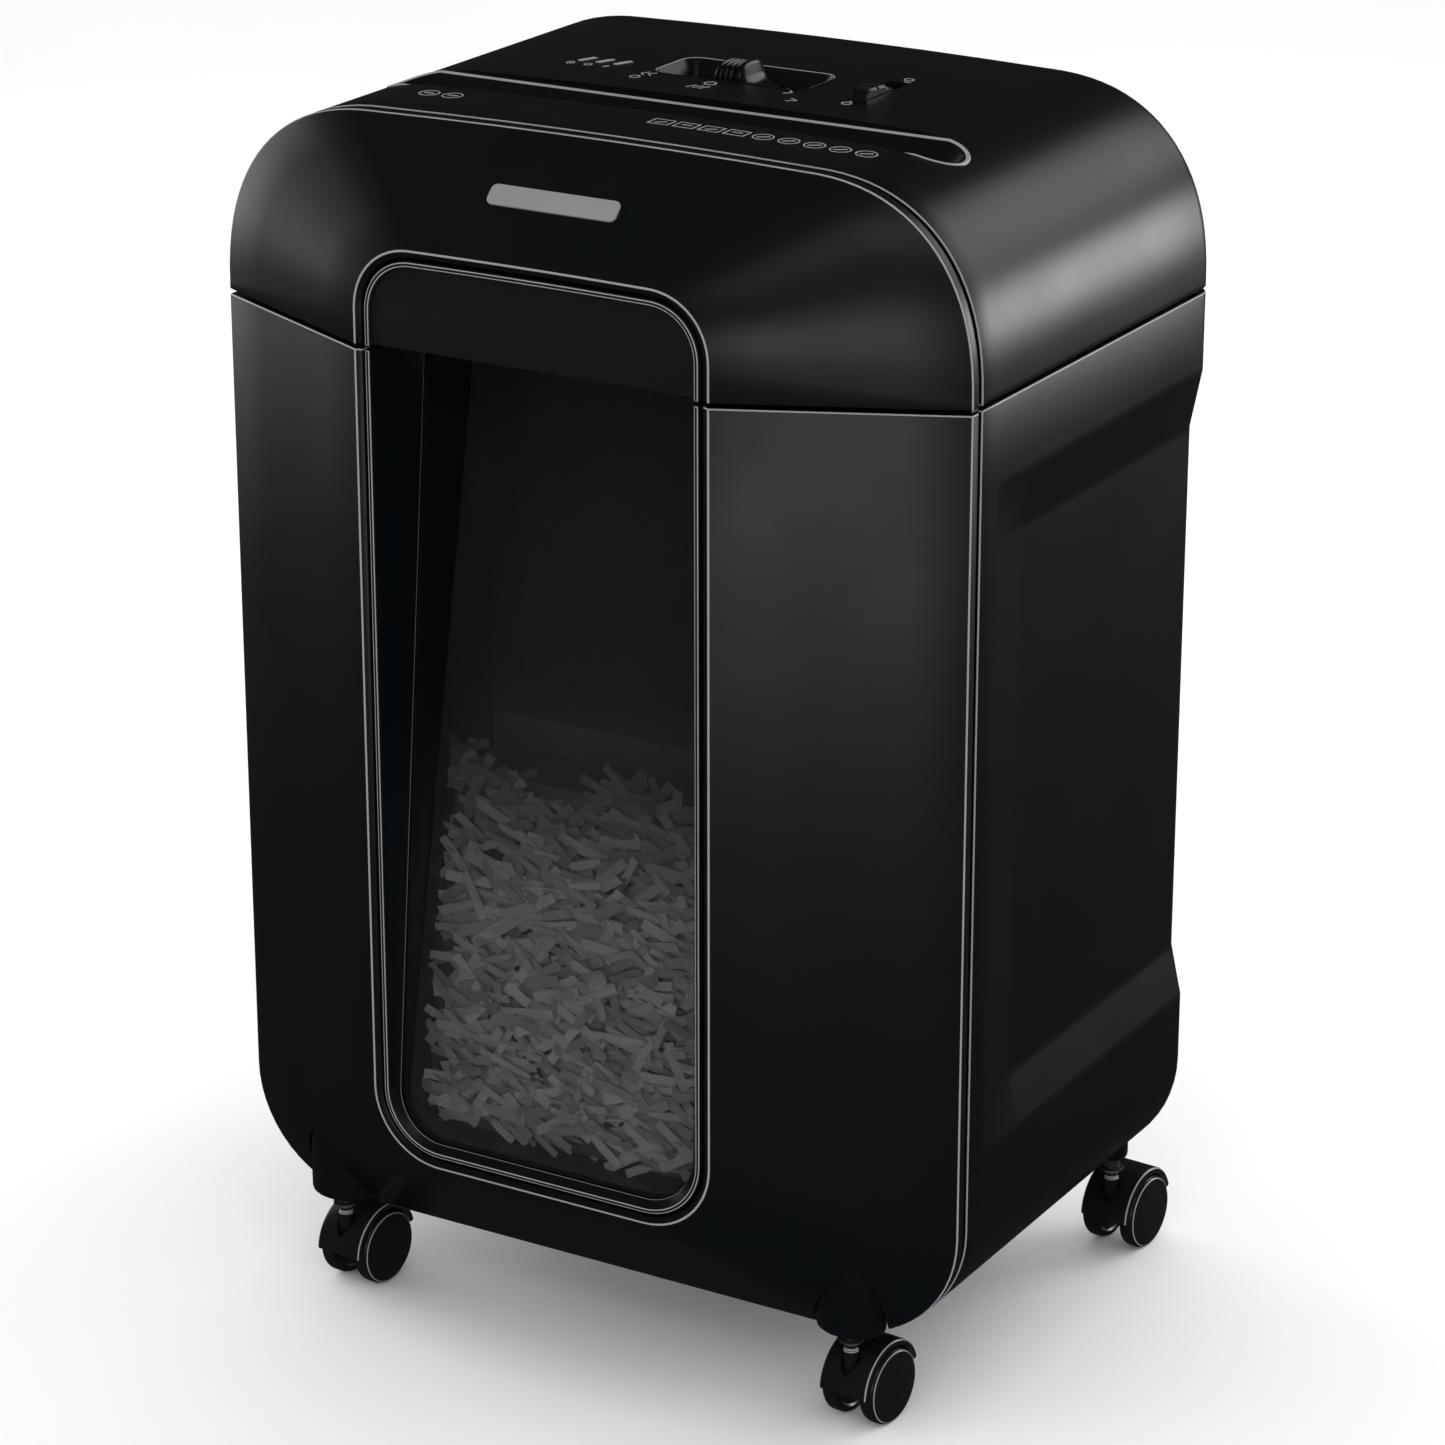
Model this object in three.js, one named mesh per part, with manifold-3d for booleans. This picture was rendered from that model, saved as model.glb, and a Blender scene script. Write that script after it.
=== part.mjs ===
// Office paper shredder: a shredding head on a cabinet, a pull-out waste bin with a smoked window, and
// four twin-wheel castors. Millimetres, +Z up, the front faces -Y.
// Everything is drawn with x = 0 in the middle, y = 0 at the front face and z = 0 at the floor. The
// whole group is then moved back by half the depth, so that the origin is the middle of the footprint.
import * as THREE from 'three';
import { mergeVertices } from 'three/addons/utils/BufferGeometryUtils.js';
import Module from 'manifold-3d';

// ---- driving dimensions ----
const bodyWidth = 340;
const bodyTop = 520.5;
const bodyBottom = 42;
const bodyBack = 252;
const splitHeight = 435; // the top edge of the cabinet and of the bin front
const splitGap = 2; // between that edge and the head
const wall = 2.5; // of every moulded shell
const gap = 0.3; // between pieces that touch

const frontSetback = 41.7; // how far the outer edge of the front lies behind its middle
const frontBand = 4.8; // depth of the edge band round the front
const seamWidth = 2.8; // the groove between that band and the shells behind it
const shellFront = frontSetback + frontBand + seamWidth;

const openingHalfWidth = 80; // the framed opening in the front
const openingTop = 478;
const openingBottom = 89.5;

const wheelRadius = 16.2;
const wheelInner = 5.7; // each wheel lies between these distances from the castor's middle
const wheelOuter = 13.8;
const castorTrail = 13.2; // from the swivel axis back to the axle
const socketBottom = 45; // height at which a castor's stem enters its socket
const stemRadius = 3.5;
const frontCastor = { x: 124, y: 38.7, socket: { x: 15, y: 11.6 }, heading: -5 }; // degrees about +Z
const rearCastor = { x: 144, y: 236, socket: { x: 6.8, y: 6.8 }, heading: -4 };
const fenderRadius = wheelRadius + 3.6;
const fenderHalf = 11.4;
const fenderRear = 18; // degrees above the axle at which the fender ends behind it
const rearTurn = THREE.MathUtils.degToRad(rearCastor.heading);
const rearReach = castorTrail + fenderRadius * Math.cos(THREE.MathUtils.degToRad(fenderRear));
const overallDepth = rearCastor.y + rearReach * Math.cos(rearTurn) + fenderHalf * Math.abs(Math.sin(rearTurn));

const entryY = 106; // middle of the paper entry, above the nip of the cutters
const entryHalfLength = 132;
const entryHalfWidth = 15;
const throatHalfLength = 114;

const cutterHeight = 471;
const cutterSpacing = 24;
const cutterHalfLength = 112;
const sidePlateX = 119;

// ---- solids from three.js geometry ----
const wasm = await Module();
wasm.setup();

function toSolid(geometry) {
  const bare = geometry.clone();
  bare.deleteAttribute('normal');
  bare.deleteAttribute('uv');
  const merged = mergeVertices(bare, 1e-4);
  return new wasm.Manifold(new wasm.Mesh({
    numProp: 3,
    vertProperties: new Float32Array(merged.attributes.position.array),
    triVerts: new Uint32Array(merged.index.array),
  }));
}

function toGeometry(solid) {
  const mesh = solid.getMesh();
  const geometry = new THREE.BufferGeometry();
  geometry.setAttribute('position', new THREE.BufferAttribute(new Float32Array(mesh.vertProperties), 3));
  geometry.setIndex(new THREE.BufferAttribute(new Uint32Array(mesh.triVerts), 1));
  return geometry;
}

function union(first, ...others) {
  return others.reduce((sum, other) => sum.add(other), first);
}

function cut(first, ...others) {
  return others.reduce((rest, other) => rest.subtract(other), first);
}

// A flat outline of [u, v] points, placed across an axis at a level that may depend on the point.
function place(outline, axis, level) {
  return outline.map(([u, v]) => {
    const w = typeof level === 'function' ? level(u, v) : level;
    if (axis === 'x') return new THREE.Vector3(w, u, v);
    if (axis === 'y') return new THREE.Vector3(u, w, v);
    return new THREE.Vector3(u, v, w);
  });
}

function flatten(point, axis) {
  if (axis === 'x') return new THREE.Vector2(point.y, point.z);
  if (axis === 'y') return new THREE.Vector2(point.x, point.z);
  return new THREE.Vector2(point.x, point.y);
}

// Skins a list of loops with the same number of points. With closedRing the last loop joins the first;
// otherwise both ends are capped with flat faces, triangulated across the axis.
function loft(loops, axis = 'y', closedRing = false) {
  const count = loops[0].length;
  const points = loops.flat();
  const faces = [];
  const bands = closedRing ? loops.length : loops.length - 1;
  for (let i = 0; i < bands; i += 1) {
    const here = i * count;
    const there = ((i + 1) % loops.length) * count;
    for (let j = 0; j < count; j += 1) {
      const next = (j + 1) % count;
      faces.push([here + j, here + next, there + next], [here + j, there + next, there + j]);
    }
  }
  const addCap = (loop, offset, direction) => {
    const contour = loop.map((point) => flatten(point, axis));
    const wanted = direction * Math.sign(THREE.ShapeUtils.area(contour));
    for (const [a, b, c] of THREE.ShapeUtils.triangulateShape(contour, [])) {
      const turn = Math.sign(THREE.ShapeUtils.area([contour[a], contour[b], contour[c]]));
      faces.push(turn === wanted ? [offset + a, offset + b, offset + c] : [offset + a, offset + c, offset + b]);
    }
  };
  if (!closedRing) {
    addCap(loops[0], 0, -1);
    addCap(loops[loops.length - 1], (loops.length - 1) * count, 1);
  }
  const volume = faces.reduce((sum, [a, b, c]) => (
    sum + points[a].dot(new THREE.Vector3().crossVectors(points[b], points[c]))), 0);
  const geometry = new THREE.BufferGeometry().setFromPoints(points);
  geometry.setIndex(faces.flatMap(([a, b, c]) => (volume < 0 ? [a, c, b] : [a, b, c])));
  return toSolid(geometry);
}

function prism(outline, axis, from, to) {
  return loft([place(outline, axis, from), place(outline, axis, to)], axis);
}

function box(x0, x1, y0, y1, z0, z1) {
  const geometry = new THREE.BoxGeometry(x1 - x0, y1 - y0, z1 - z0);
  geometry.translate((x0 + x1) / 2, (y0 + y1) / 2, (z0 + z1) / 2);
  return toSolid(geometry);
}

function arc(centreU, centreV, radiusU, radiusV, fromDegrees, toDegrees, steps, power = 2) {
  const points = [];
  for (let i = 0; i <= steps; i += 1) {
    const angle = THREE.MathUtils.degToRad(fromDegrees + ((toDegrees - fromDegrees) * i) / steps);
    const c = Math.cos(angle);
    const s = Math.sin(angle);
    points.push([
      centreU + radiusU * Math.sign(c) * Math.abs(c) ** (2 / power),
      centreV + radiusV * Math.sign(s) * Math.abs(s) ** (2 / power),
    ]);
  }
  return points;
}

function circle(centreU, centreV, radius, steps) {
  return arc(centreU, centreV, radius, radius, 0, 360 - 360 / steps, steps - 1);
}

function roundedBox(centreU, centreV, halfU, halfV, radius, steps = 4) {
  return [
    ...arc(centreU + halfU - radius, centreV + halfV - radius, radius, radius, 0, 90, steps),
    ...arc(centreU - halfU + radius, centreV + halfV - radius, radius, radius, 90, 180, steps),
    ...arc(centreU - halfU + radius, centreV - halfV + radius, radius, radius, 180, 270, steps),
    ...arc(centreU + halfU - radius, centreV - halfV + radius, radius, radius, 270, 360, steps),
  ];
}

function rod(axis, centreU, centreV, radius, from, to, steps = 12) {
  return prism(circle(centreU, centreV, radius, steps), axis, from, to);
}

// A turned piece along X: the profile is a list of [radius, x] that starts and ends on the axis.
function turned(profile, steps) {
  const geometry = new THREE.LatheGeometry(profile.map(([r, x]) => new THREE.Vector2(r, x)), steps);
  geometry.rotateZ(-Math.PI / 2);
  return toSolid(geometry);
}

// ---- the outlines seen from the front ----
const topCorner = { x: 75, z: 80, power: 2.35 };
const topCrown = 1.3;
const bottomCorner = 52;
const topFlat = bodyWidth / 2 - topCorner.x;
const cornerSteps = 8;

// Rounded outline, anticlockwise from the right-hand end of the top right corner.
function roundedOutline(halfWidth, top, bottom, upper, lowerRadius, crown) {
  const flat = halfWidth - upper.x;
  const crownHeight = (x) => top - crown * (x / flat) ** 2;
  const corner = (side, from, to) => arc(
    side * flat, top - crown - upper.z, upper.x, upper.z, from, to, cornerSteps, upper.power);
  const low = (side, from, to) => arc(
    side * (halfWidth - lowerRadius), bottom + lowerRadius, lowerRadius, lowerRadius, from, to, cornerSteps - 2);
  const middle = [0.5, 0, -0.5].map((share) => [share * flat, crownHeight(share * flat)]);
  return [...corner(1, 0, 90), ...middle, ...corner(-1, 90, 180), ...low(-1, 180, 270), ...low(1, 270, 360)];
}

function bodyOutline(inset) {
  return roundedOutline(
    bodyWidth / 2 - inset,
    bodyTop - inset,
    bodyBottom + inset,
    { x: topCorner.x - inset, z: topCorner.z - inset, power: topCorner.power },
    bottomCorner - inset,
    topCrown,
  );
}

function openingOutline(inset) {
  return roundedOutline(
    openingHalfWidth - inset,
    openingTop - inset,
    openingBottom + inset,
    { x: 27 - inset, z: 27 - inset, power: 2.1 },
    31 - inset,
    0.4,
  );
}

// Height of the outer surface of the head above a given x.
function surfaceHeight(x) {
  const beyond = Math.max(0, Math.abs(x) - topFlat) / topCorner.x;
  const drop = topCorner.z * (1 - (1 - beyond ** topCorner.power) ** (1 / topCorner.power));
  return bodyTop - topCrown * Math.min(1, Math.abs(x) / topFlat) ** 2 - drop;
}

const everywhere = 400;
const aboveSplit = box(-everywhere, everywhere, -everywhere, everywhere, splitHeight, 2 * everywhere);
const belowHead = box(-everywhere, everywhere, -everywhere, everywhere, -10, splitHeight + splitGap);

// ---- the front: one skin, split into the head fascia and the bin front ----
const lip = 3; // width of the sloping lip round the framed opening
const lipDrop = 1.2;
const grooveDepth = 7;
const spigotLength = 5.5; // tucks inside the shell behind, across the seam
const spigotInset = 3;

function frontSkin() {
  const bandBack = frontSetback + frontBand;
  const spigotBack = bandBack + spigotLength;
  return loft([
    place(openingOutline(0), 'y', 0),
    place(bodyOutline(0), 'y', frontSetback),
    place(bodyOutline(0), 'y', bandBack),
    place(bodyOutline(spigotInset), 'y', bandBack),
    place(bodyOutline(spigotInset), 'y', spigotBack),
    place(bodyOutline(spigotInset + wall), 'y', spigotBack),
    place(bodyOutline(spigotInset + wall), 'y', frontSetback + wall + 1.5),
    place(openingOutline(-1.5), 'y', wall + 1.5),
    place(openingOutline(0.8), 'y', grooveDepth),
    place(openingOutline(lip), 'y', grooveDepth),
    place(openingOutline(lip), 'y', lipDrop),
  ], 'y', true);
}

const frontSocketTop = 78; // hidden behind the sloping lower part of the bin front
const socketClearance = 0.7;

function ellipse(castor, side, extra, steps) {
  return arc(
    side * castor.x, castor.y, castor.socket.x + extra, castor.socket.y + extra, 0, 360 - 360 / steps, steps - 1);
}

// The bin front slides forward past each front castor socket, so it is notched round it.
function socketNotch(side) {
  const reach = frontCastor.socket.x + socketClearance;
  const x = side * frontCastor.x;
  const top = frontSocketTop + socketClearance;
  return union(
    prism(ellipse(frontCastor, side, socketClearance, 24), 'z', 0, top),
    box(x - reach, x + reach, frontCastor.y, 2 * frontCastor.y, 0, top),
  );
}

const beadOuter = lip + 1.2; // the raised bead inside the groove
const beadInner = 6.8;
const beadProud = 0.4;

function headCentrePanel() {
  const plate = loft([
    place(openingOutline(beadOuter), 'y', 8),
    place(openingOutline(beadOuter), 'y', 1),
    place(openingOutline(beadOuter + 0.6), 'y', beadProud),
    place(openingOutline(beadInner - 0.6), 'y', beadProud),
    place(openingOutline(beadInner), 'y', 1),
    place(openingOutline(beadInner + 0.3), 'y', 3),
  ]);
  return cut(plate, belowHead);
}

// ---- the head ----
const backRound = 10;

function shellSkin(inset, front) {
  return loft([
    place(bodyOutline(inset), 'y', front),
    place(bodyOutline(inset), 'y', bodyBack - backRound),
    place(bodyOutline(inset + 3), 'y', bodyBack - 3 - inset / 2),
    place(bodyOutline(inset + backRound), 'y', bodyBack - inset),
  ]);
}

function hollowShell() {
  return cut(shellSkin(0, shellFront), shellSkin(wall, shellFront - 1));
}

const switchCentre = { x: -1.5, y: 167 };
const switchHalf = { x: 36.5, y: 17 };
const lockCentre = { x: 59, y: 168 };
const lockHalf = { x: 4.4, y: 19 };
const lampX = [-72, -63.5, -55];
const lampY = 160;
const lampHalf = { x: 1.4, y: 4 };
const lampLean = 1.5;
const ventCount = 7;
const glandCentre = { x: -115, z: 460 };
const glandRadius = 7;

function lampOutline(x, inset) {
  const w = lampHalf.x - inset;
  const d = lampHalf.y - inset;
  return [
    [x - w - lampLean, lampY - d],
    [x + w - lampLean, lampY - d],
    [x + w + lampLean, lampY + d],
    [x - w + lampLean, lampY + d],
  ];
}

function headCover() {
  const entry = roundedBox(0, entryY, entryHalfLength, entryHalfWidth, entryHalfWidth - 0.2, 6);
  const dish = roundedBox(switchCentre.x, switchCentre.y, switchHalf.x, switchHalf.y, 8);
  const lock = roundedBox(lockCentre.x, lockCentre.y, lockHalf.x, lockHalf.y, 2, 2);
  let cover = cut(
    hollowShell(),
    belowHead,
    prism(entry, 'z', 400, 600),
    prism(dish, 'z', 500, 600),
    prism(lock, 'z', 500, 600),
  );
  for (const x of lampX) {
    cover = cover.subtract(prism(lampOutline(x, 0), 'z', 500, 600));
  }
  for (let i = 0; i < ventCount; i += 1) {
    const x = 40 + 12 * i;
    cover = cover.subtract(box(x, x + 5, 200, 300, 452, 492));
  }
  return cut(cover, rod('y', glandCentre.x, glandCentre.z, glandRadius + gap, 200, 300, 16));
}

function cordGland() {
  const flange = rod('y', glandCentre.x, glandCentre.z, glandRadius + 2, bodyBack + gap, bodyBack + 4, 16);
  const barrel = rod('y', glandCentre.x, glandCentre.z, glandRadius, bodyBack - 6, bodyBack + 2, 16);
  return cut(union(flange, barrel), rod('y', glandCentre.x, glandCentre.z, 4, 200, 300, 12));
}

function headBasePlate() {
  const outline = [
    [163, shellFront + 1], [163, bodyBack - 8], [-163, bodyBack - 8], [-163, shellFront + 1],
    [-78, 10.5], [78, 10.5],
  ];
  const z = splitHeight + splitGap + 1;
  const outlet = box(-throatHalfLength, throatHalfLength, entryY - 26, entryY + 26, 400, 500);
  return cut(prism(outline, 'z', z, z + wall), outlet);
}

const throatHeight = 499;

// A funnel that lines the paper entry and follows the curve of the head.
function entryBezel() {
  const rim = (inset) => roundedBox(
    0, entryY, entryHalfLength - inset, entryHalfWidth - inset, entryHalfWidth - inset - 0.1, 6);
  const throat = (extra) => roundedBox(
    0, entryY - 3, throatHalfLength + extra, 3.5 + extra, 2 + extra, 6);
  const top = (proud) => (x) => surfaceHeight(x) + proud;
  return loft([
    place(rim(gap), 'z', top(-wall)),
    place(rim(gap), 'z', top(0.2)),
    place(rim(gap + 0.5), 'z', top(0.5)),
    place(rim(1.6), 'z', top(0.2)),
    place(throat(0), 'z', throatHeight),
    place(throat(1.6), 'z', throatHeight),
  ], 'z', true);
}

function throatGuide(side) {
  const y = entryY - 3 + side * 5.6;
  const lean = 2.5; // both guide the sheet back towards the nip
  const outline = [
    [y, throatHeight - 1], [y + side * 1.5, throatHeight - 1],
    [y + side * 1.5 + lean, throatHeight - 13], [y + lean, throatHeight - 13],
  ];
  return prism(outline, 'x', -throatHalfLength, throatHalfLength);
}

function frontBadge() {
  const slope = Math.atan2(bodyTop - openingTop, frontSetback);
  const badge = prism(roundedBox(0, 0, 29, 4.5, 2.5, 3), 'z', 0, 0.9);
  return { badge, slope };
}

// ---- the controls on the head ----
const dishFloor = 511;
const shankTravel = 11;

function switchDish() {
  const rim = (inset) => roundedBox(
    switchCentre.x, switchCentre.y, switchHalf.x - inset, switchHalf.y - inset, 8 - inset);
  const outer = loft([
    place(rim(gap), 'z', bodyTop + 0.2),
    place(rim(gap), 'z', bodyTop - wall),
    place(rim(4), 'z', dishFloor),
  ], 'z');
  const inner = loft([
    place(rim(1.5), 'z', bodyTop + 1),
    place(rim(1.5), 'z', bodyTop - 0.5),
    place(rim(5.5), 'z', dishFloor + 1.6),
  ], 'z');
  const slot = shankTravel + 4.5;
  return cut(
    outer,
    inner,
    box(switchCentre.x - slot, switchCentre.x + slot, switchCentre.y - 3, switchCentre.y + 3, 500, 515),
  );
}

function controlKnob() {
  const floor = dishFloor + 2;
  const { x, y } = switchCentre;
  const plate = loft([
    place(roundedBox(x, y, 17, 10.5, 3, 3), 'z', floor),
    place(roundedBox(x, y, 17, 10.5, 3, 3), 'z', floor + 2.4),
    place(roundedBox(x, y, 15, 9.5, 2.5, 3), 'z', floor + 3.4),
  ], 'z');
  const grip = loft([
    place(roundedBox(x, y, 6.2, 10, 2, 3), 'z', floor + 2),
    place(roundedBox(x, y, 4.8, 13, 2, 3), 'z', bodyTop + 1.5),
    place(roundedBox(x, y, 4.2, 13, 2, 3), 'z', bodyTop + 6),
    place(roundedBox(x, y, 3, 12, 1.6, 3), 'z', bodyTop + 7),
  ], 'z');
  const shank = box(x - 4, x + 4, y - 2.5, y + 2.5, floor - 8, floor + 1);
  return union(plate, grip, shank);
}

const lockTravel = 10;

function safetyLock() {
  const { x, y } = lockCentre;
  const capY = y - lockTravel / 2;
  const underside = surfaceHeight(x) - wall - 1;
  const cap = loft([
    place(roundedBox(x, capY, 3.9, 13.4, 1.5, 2), 'z', underside - 1),
    place(roundedBox(x, capY, 3.9, 13.4, 1.5, 2), 'z', bodyTop + 0.5),
    place(roundedBox(x, capY, 2.9, 9, 1.2, 2), 'z', bodyTop + 2.6),
  ], 'z');
  const carriage = box(x - 7, x + 7, capY - 26, capY + 26, underside - 2, underside);
  return union(cap, carriage);
}

function lampGuide() {
  const bar = box(lampX[0] - 6, lampX[2] + 6, lampY - 5, lampY + 5, 511, 514);
  const windows = lampX.map((x) => prism(lampOutline(x, gap), 'z', 513, surfaceHeight(x) + 0.25));
  return union(bar, ...windows);
}

// ---- the shredding block inside the head ----
const frontCutterY = entryY - cutterSpacing / 2;
const rearCutterY = entryY + cutterSpacing / 2;
const discRadius = 13.5;
const coreRadius = 8;
const journalRadius = 5;
const discPitch = 12;
const discWidth = 5.4;
const bushRadius = 9;
const plateThickness = 3;
const gearModule = 1.5;
const shaftGear = 16;
const driveGear = 28;
const idlerGear = 20;
const pinionGear = 8;
const idlerY = rearCutterY + (gearModule * (driveGear + idlerGear)) / 2;
const motorY = idlerY + (gearModule * (idlerGear + pinionGear)) / 2;
const gearWidth = 6;
const shaftGearX = -(sidePlateX + 5 + gearWidth);
const driveGearX = shaftGearX - gearWidth - 1;

// One cutter: a shaft with evenly spaced discs, the two cutters' discs passing between each other.
function cutter(firstDisc, geared) {
  const profile = [[0, -geared], [journalRadius, -geared], [journalRadius, -cutterHalfLength - 1]];
  profile.push([coreRadius, -cutterHalfLength - 1]);
  for (let x = firstDisc; x + discWidth < cutterHalfLength; x += discPitch) {
    profile.push([coreRadius, x], [discRadius, x], [discRadius, x + discWidth], [coreRadius, x + discWidth]);
  }
  profile.push([coreRadius, cutterHalfLength + 1], [journalRadius, cutterHalfLength + 1]);
  profile.push([journalRadius, sidePlateX + 5], [0, sidePlateX + 5]);
  return turned(profile, 12);
}

function gearOutline(teeth, turnDegrees) {
  const pitchRadius = (gearModule * teeth) / 2;
  const tipRadius = pitchRadius + 0.8 * gearModule;
  const rootRadius = pitchRadius - 1.1 * gearModule;
  const flank = Math.tan(THREE.MathUtils.degToRad(20));
  const halfTooth = (0.83 * Math.PI) / (2 * teeth);
  const halfTip = halfTooth - ((tipRadius - pitchRadius) * flank) / tipRadius;
  const halfRoot = halfTooth + ((pitchRadius - rootRadius) * flank) / rootRadius;
  const outline = [];
  for (let i = 0; i < teeth; i += 1) {
    const middle = THREE.MathUtils.degToRad(turnDegrees) + (2 * Math.PI * i) / teeth;
    for (const [radius, angle] of [
      [rootRadius, -halfRoot], [tipRadius, -halfTip], [tipRadius, halfTip], [rootRadius, halfRoot],
    ]) {
      outline.push([radius * Math.cos(middle + angle), radius * Math.sin(middle + angle)]);
    }
  }
  return outline;
}

function gear(teeth, turnDegrees, y, x, boreRadius) {
  const outline = gearOutline(teeth, turnDegrees).map(([u, v]) => [u + y, v + cutterHeight]);
  return cut(prism(outline, 'x', x, x + gearWidth), rod('x', y, cutterHeight, boreRadius, -200, 200));
}

function sidePlate(side, back) {
  const x = side * sidePlateX;
  const inner = x - side * plateThickness;
  const outline = [
    [entryY - 34, 443], [back, 443], [back, cutterHeight + 20], [rearCutterY + 20, cutterHeight + 24],
    [entryY - 26, cutterHeight + 24], [entryY - 34, cutterHeight + 10],
  ];
  let plate = prism(outline, 'x', Math.min(x, inner), Math.max(x, inner));
  for (const y of [frontCutterY, rearCutterY]) {
    plate = plate.subtract(rod('x', y, cutterHeight, bushRadius + gap, -200, 200, 16));
  }
  return plate;
}

function gearSidePlate() {
  const idlerPin = rod('x', idlerY, cutterHeight, 3, driveGearX - 1, -sidePlateX + 1);
  const motorHole = rod('x', motorY, cutterHeight, 5, -200, 200);
  return union(cut(sidePlate(-1, motorY + 22), motorHole), idlerPin);
}

function bush(side, y) {
  const inner = side * (sidePlateX - plateThickness - 0.6);
  const outer = side * (sidePlateX + 2);
  const ring = rod('x', y, cutterHeight, bushRadius, Math.min(inner, outer), Math.max(inner, outer), 16);
  return ring.subtract(rod('x', y, cutterHeight, journalRadius + gap, -200, 200));
}

function tieRod(y) {
  const end = sidePlateX - plateThickness - gap;
  return rod('x', y, cutterHeight - 19, 3, -end, end, 10);
}

// A comb whose fingers reach between the discs of one cutter, to strip the cut paper off it.
function stripperComb(y, towards, firstDisc) {
  const root = y + towards * 1.5;
  const back = y - towards * 5;
  const tip = y + towards * 8.5;
  const end = cutterHalfLength;
  const outline = [[-end, back], [-end, root]];
  for (let x = firstDisc + discWidth; x + discPitch - discWidth < end; x += discPitch) {
    const left = x + 1.2;
    const right = x + discPitch - discWidth - 1.2;
    outline.push([left, root], [left, tip], [right, tip], [right, root]);
  }
  outline.push([end, root], [end, back]);
  return prism(outline, 'z', cutterHeight - 3, cutterHeight + 3);
}

function motor() {
  const start = -sidePlateX + plateThickness + gap;
  const can = rod('x', motorY, cutterHeight, 29, start, start + 88, 24);
  const endCap = rod('x', motorY, cutterHeight, 24, start + 87, start + 97, 24);
  const bore = rod('x', motorY, cutterHeight, 3.4, start - 1, start + 24);
  return cut(union(can, endCap), bore);
}

function motorPinion() {
  const outline = gearOutline(pinionGear, 0).map(([u, v]) => [u + motorY, v + cutterHeight]);
  const shaft = rod('x', motorY, cutterHeight, 2.8, driveGearX + 1, -sidePlateX + 20);
  return union(prism(outline, 'x', driveGearX, driveGearX + gearWidth), shaft);
}

function controlBoard() {
  const z = 446;
  const board = box(30, 130, 150, 225, z, z + 1.6);
  const relay = box(44, 64, 160, 178, z + 1, z + 17);
  const capacitor = rod('z', 95, 180, 9, z + 1, z + 26, 14);
  const heatSink = box(110, 122, 160, 205, z + 1, z + 22);
  return union(board, relay, capacitor, heatSink);
}

function binSwitch() {
  const z = splitHeight + splitGap + 1 + wall + gap;
  const body = box(118, 138, 58, 66, z, z + 12);
  return union(body, box(122, 126, 60, 64, z + 11, z + 15));
}

// ---- the cabinet ----
const recessDepth = 5;
const recess = { front: 63, floorFront: 93, top: 402, floorTop: 377, floorBottom: 146, bottom: 124 };

// The shallow panel pressed into each side, open at the back. Its edges slope down to a flat floor.
function sideRecess(side, shift) {
  const x = (bodyWidth / 2 + 0.01) - shift;
  const back = bodyBack + 10;
  const mouth = [
    [recess.front, recess.bottom], [back, recess.bottom], [back, recess.top], [recess.front, recess.top],
  ];
  const floor = [
    [recess.floorFront, recess.floorBottom], [back, recess.floorBottom],
    [back, recess.floorTop], [recess.floorFront, recess.floorTop],
  ];
  return loft([
    place(mouth, 'x', side * (x + shift + 5)),
    place(mouth, 'x', side * x),
    place(floor, 'x', side * (x - recessDepth)),
  ], 'x');
}

const stemBore = 64; // height of the blind hole for a castor stem

function castorSocket(castor, side, top) {
  return loft([
    place(ellipse(castor, side, -1.5, 24), 'z', socketBottom),
    place(ellipse(castor, side, 0, 24), 'z', socketBottom + 2.5),
    place(ellipse(castor, side, 0, 24), 'z', top),
  ], 'z');
}

function cabinetShell() {
  let shell = cut(hollowShell(), aboveSplit);
  const outside = cut(shellSkin(0, shellFront), aboveSplit);
  for (const side of [1, -1]) {
    shell = shell.add(sideRecess(side, wall).intersect(outside)).subtract(sideRecess(side, 0));
    const x = side * frontCastor.x;
    const rib = box(x - 9, x + 9, frontCastor.y + 8, shellFront + 26, bodyBottom + 2.4, 70);
    shell = union(
      shell,
      rib,
      castorSocket(frontCastor, side, frontSocketTop),
      castorSocket(rearCastor, side, stemBore + 4),
    );
    for (const castor of [frontCastor, rearCastor]) {
      shell = shell.subtract(rod('z', side * castor.x, castor.y, stemRadius + gap, 0, stemBore));
    }
  }
  return shell;
}

// ---- the bin ----
const binTop = 424;
const binBack = 238;
const tubFront = 54;
const creaseInset = 10; // the bright edge inside the bezel
const windowInset = 10.6;

function creaseY(x, z) {
  return 2.3 + (z - openingBottom - 7.5) * 0.095;
}

function windowY(x, z) {
  return 5 + (z - openingBottom - 7.5) * 0.191;
}

function shifted(level, distance) {
  return (x, z) => level(x, z) + distance;
}

function binBezel() {
  const ring = loft([
    place(openingOutline(beadOuter), 'y', 9),
    place(openingOutline(beadOuter), 'y', 1),
    place(openingOutline(beadOuter + 0.6), 'y', beadProud),
    place(openingOutline(beadInner - 0.6), 'y', beadProud),
    place(openingOutline(beadInner), 'y', 1),
    place(openingOutline(creaseInset), 'y', creaseY),
    place(openingOutline(creaseInset - 1.6), 'y', shifted(creaseY, 1.2)),
    place(openingOutline(beadOuter + 1.6), 'y', 9),
  ], 'y', true);
  return cut(ring, aboveSplit);
}

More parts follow.
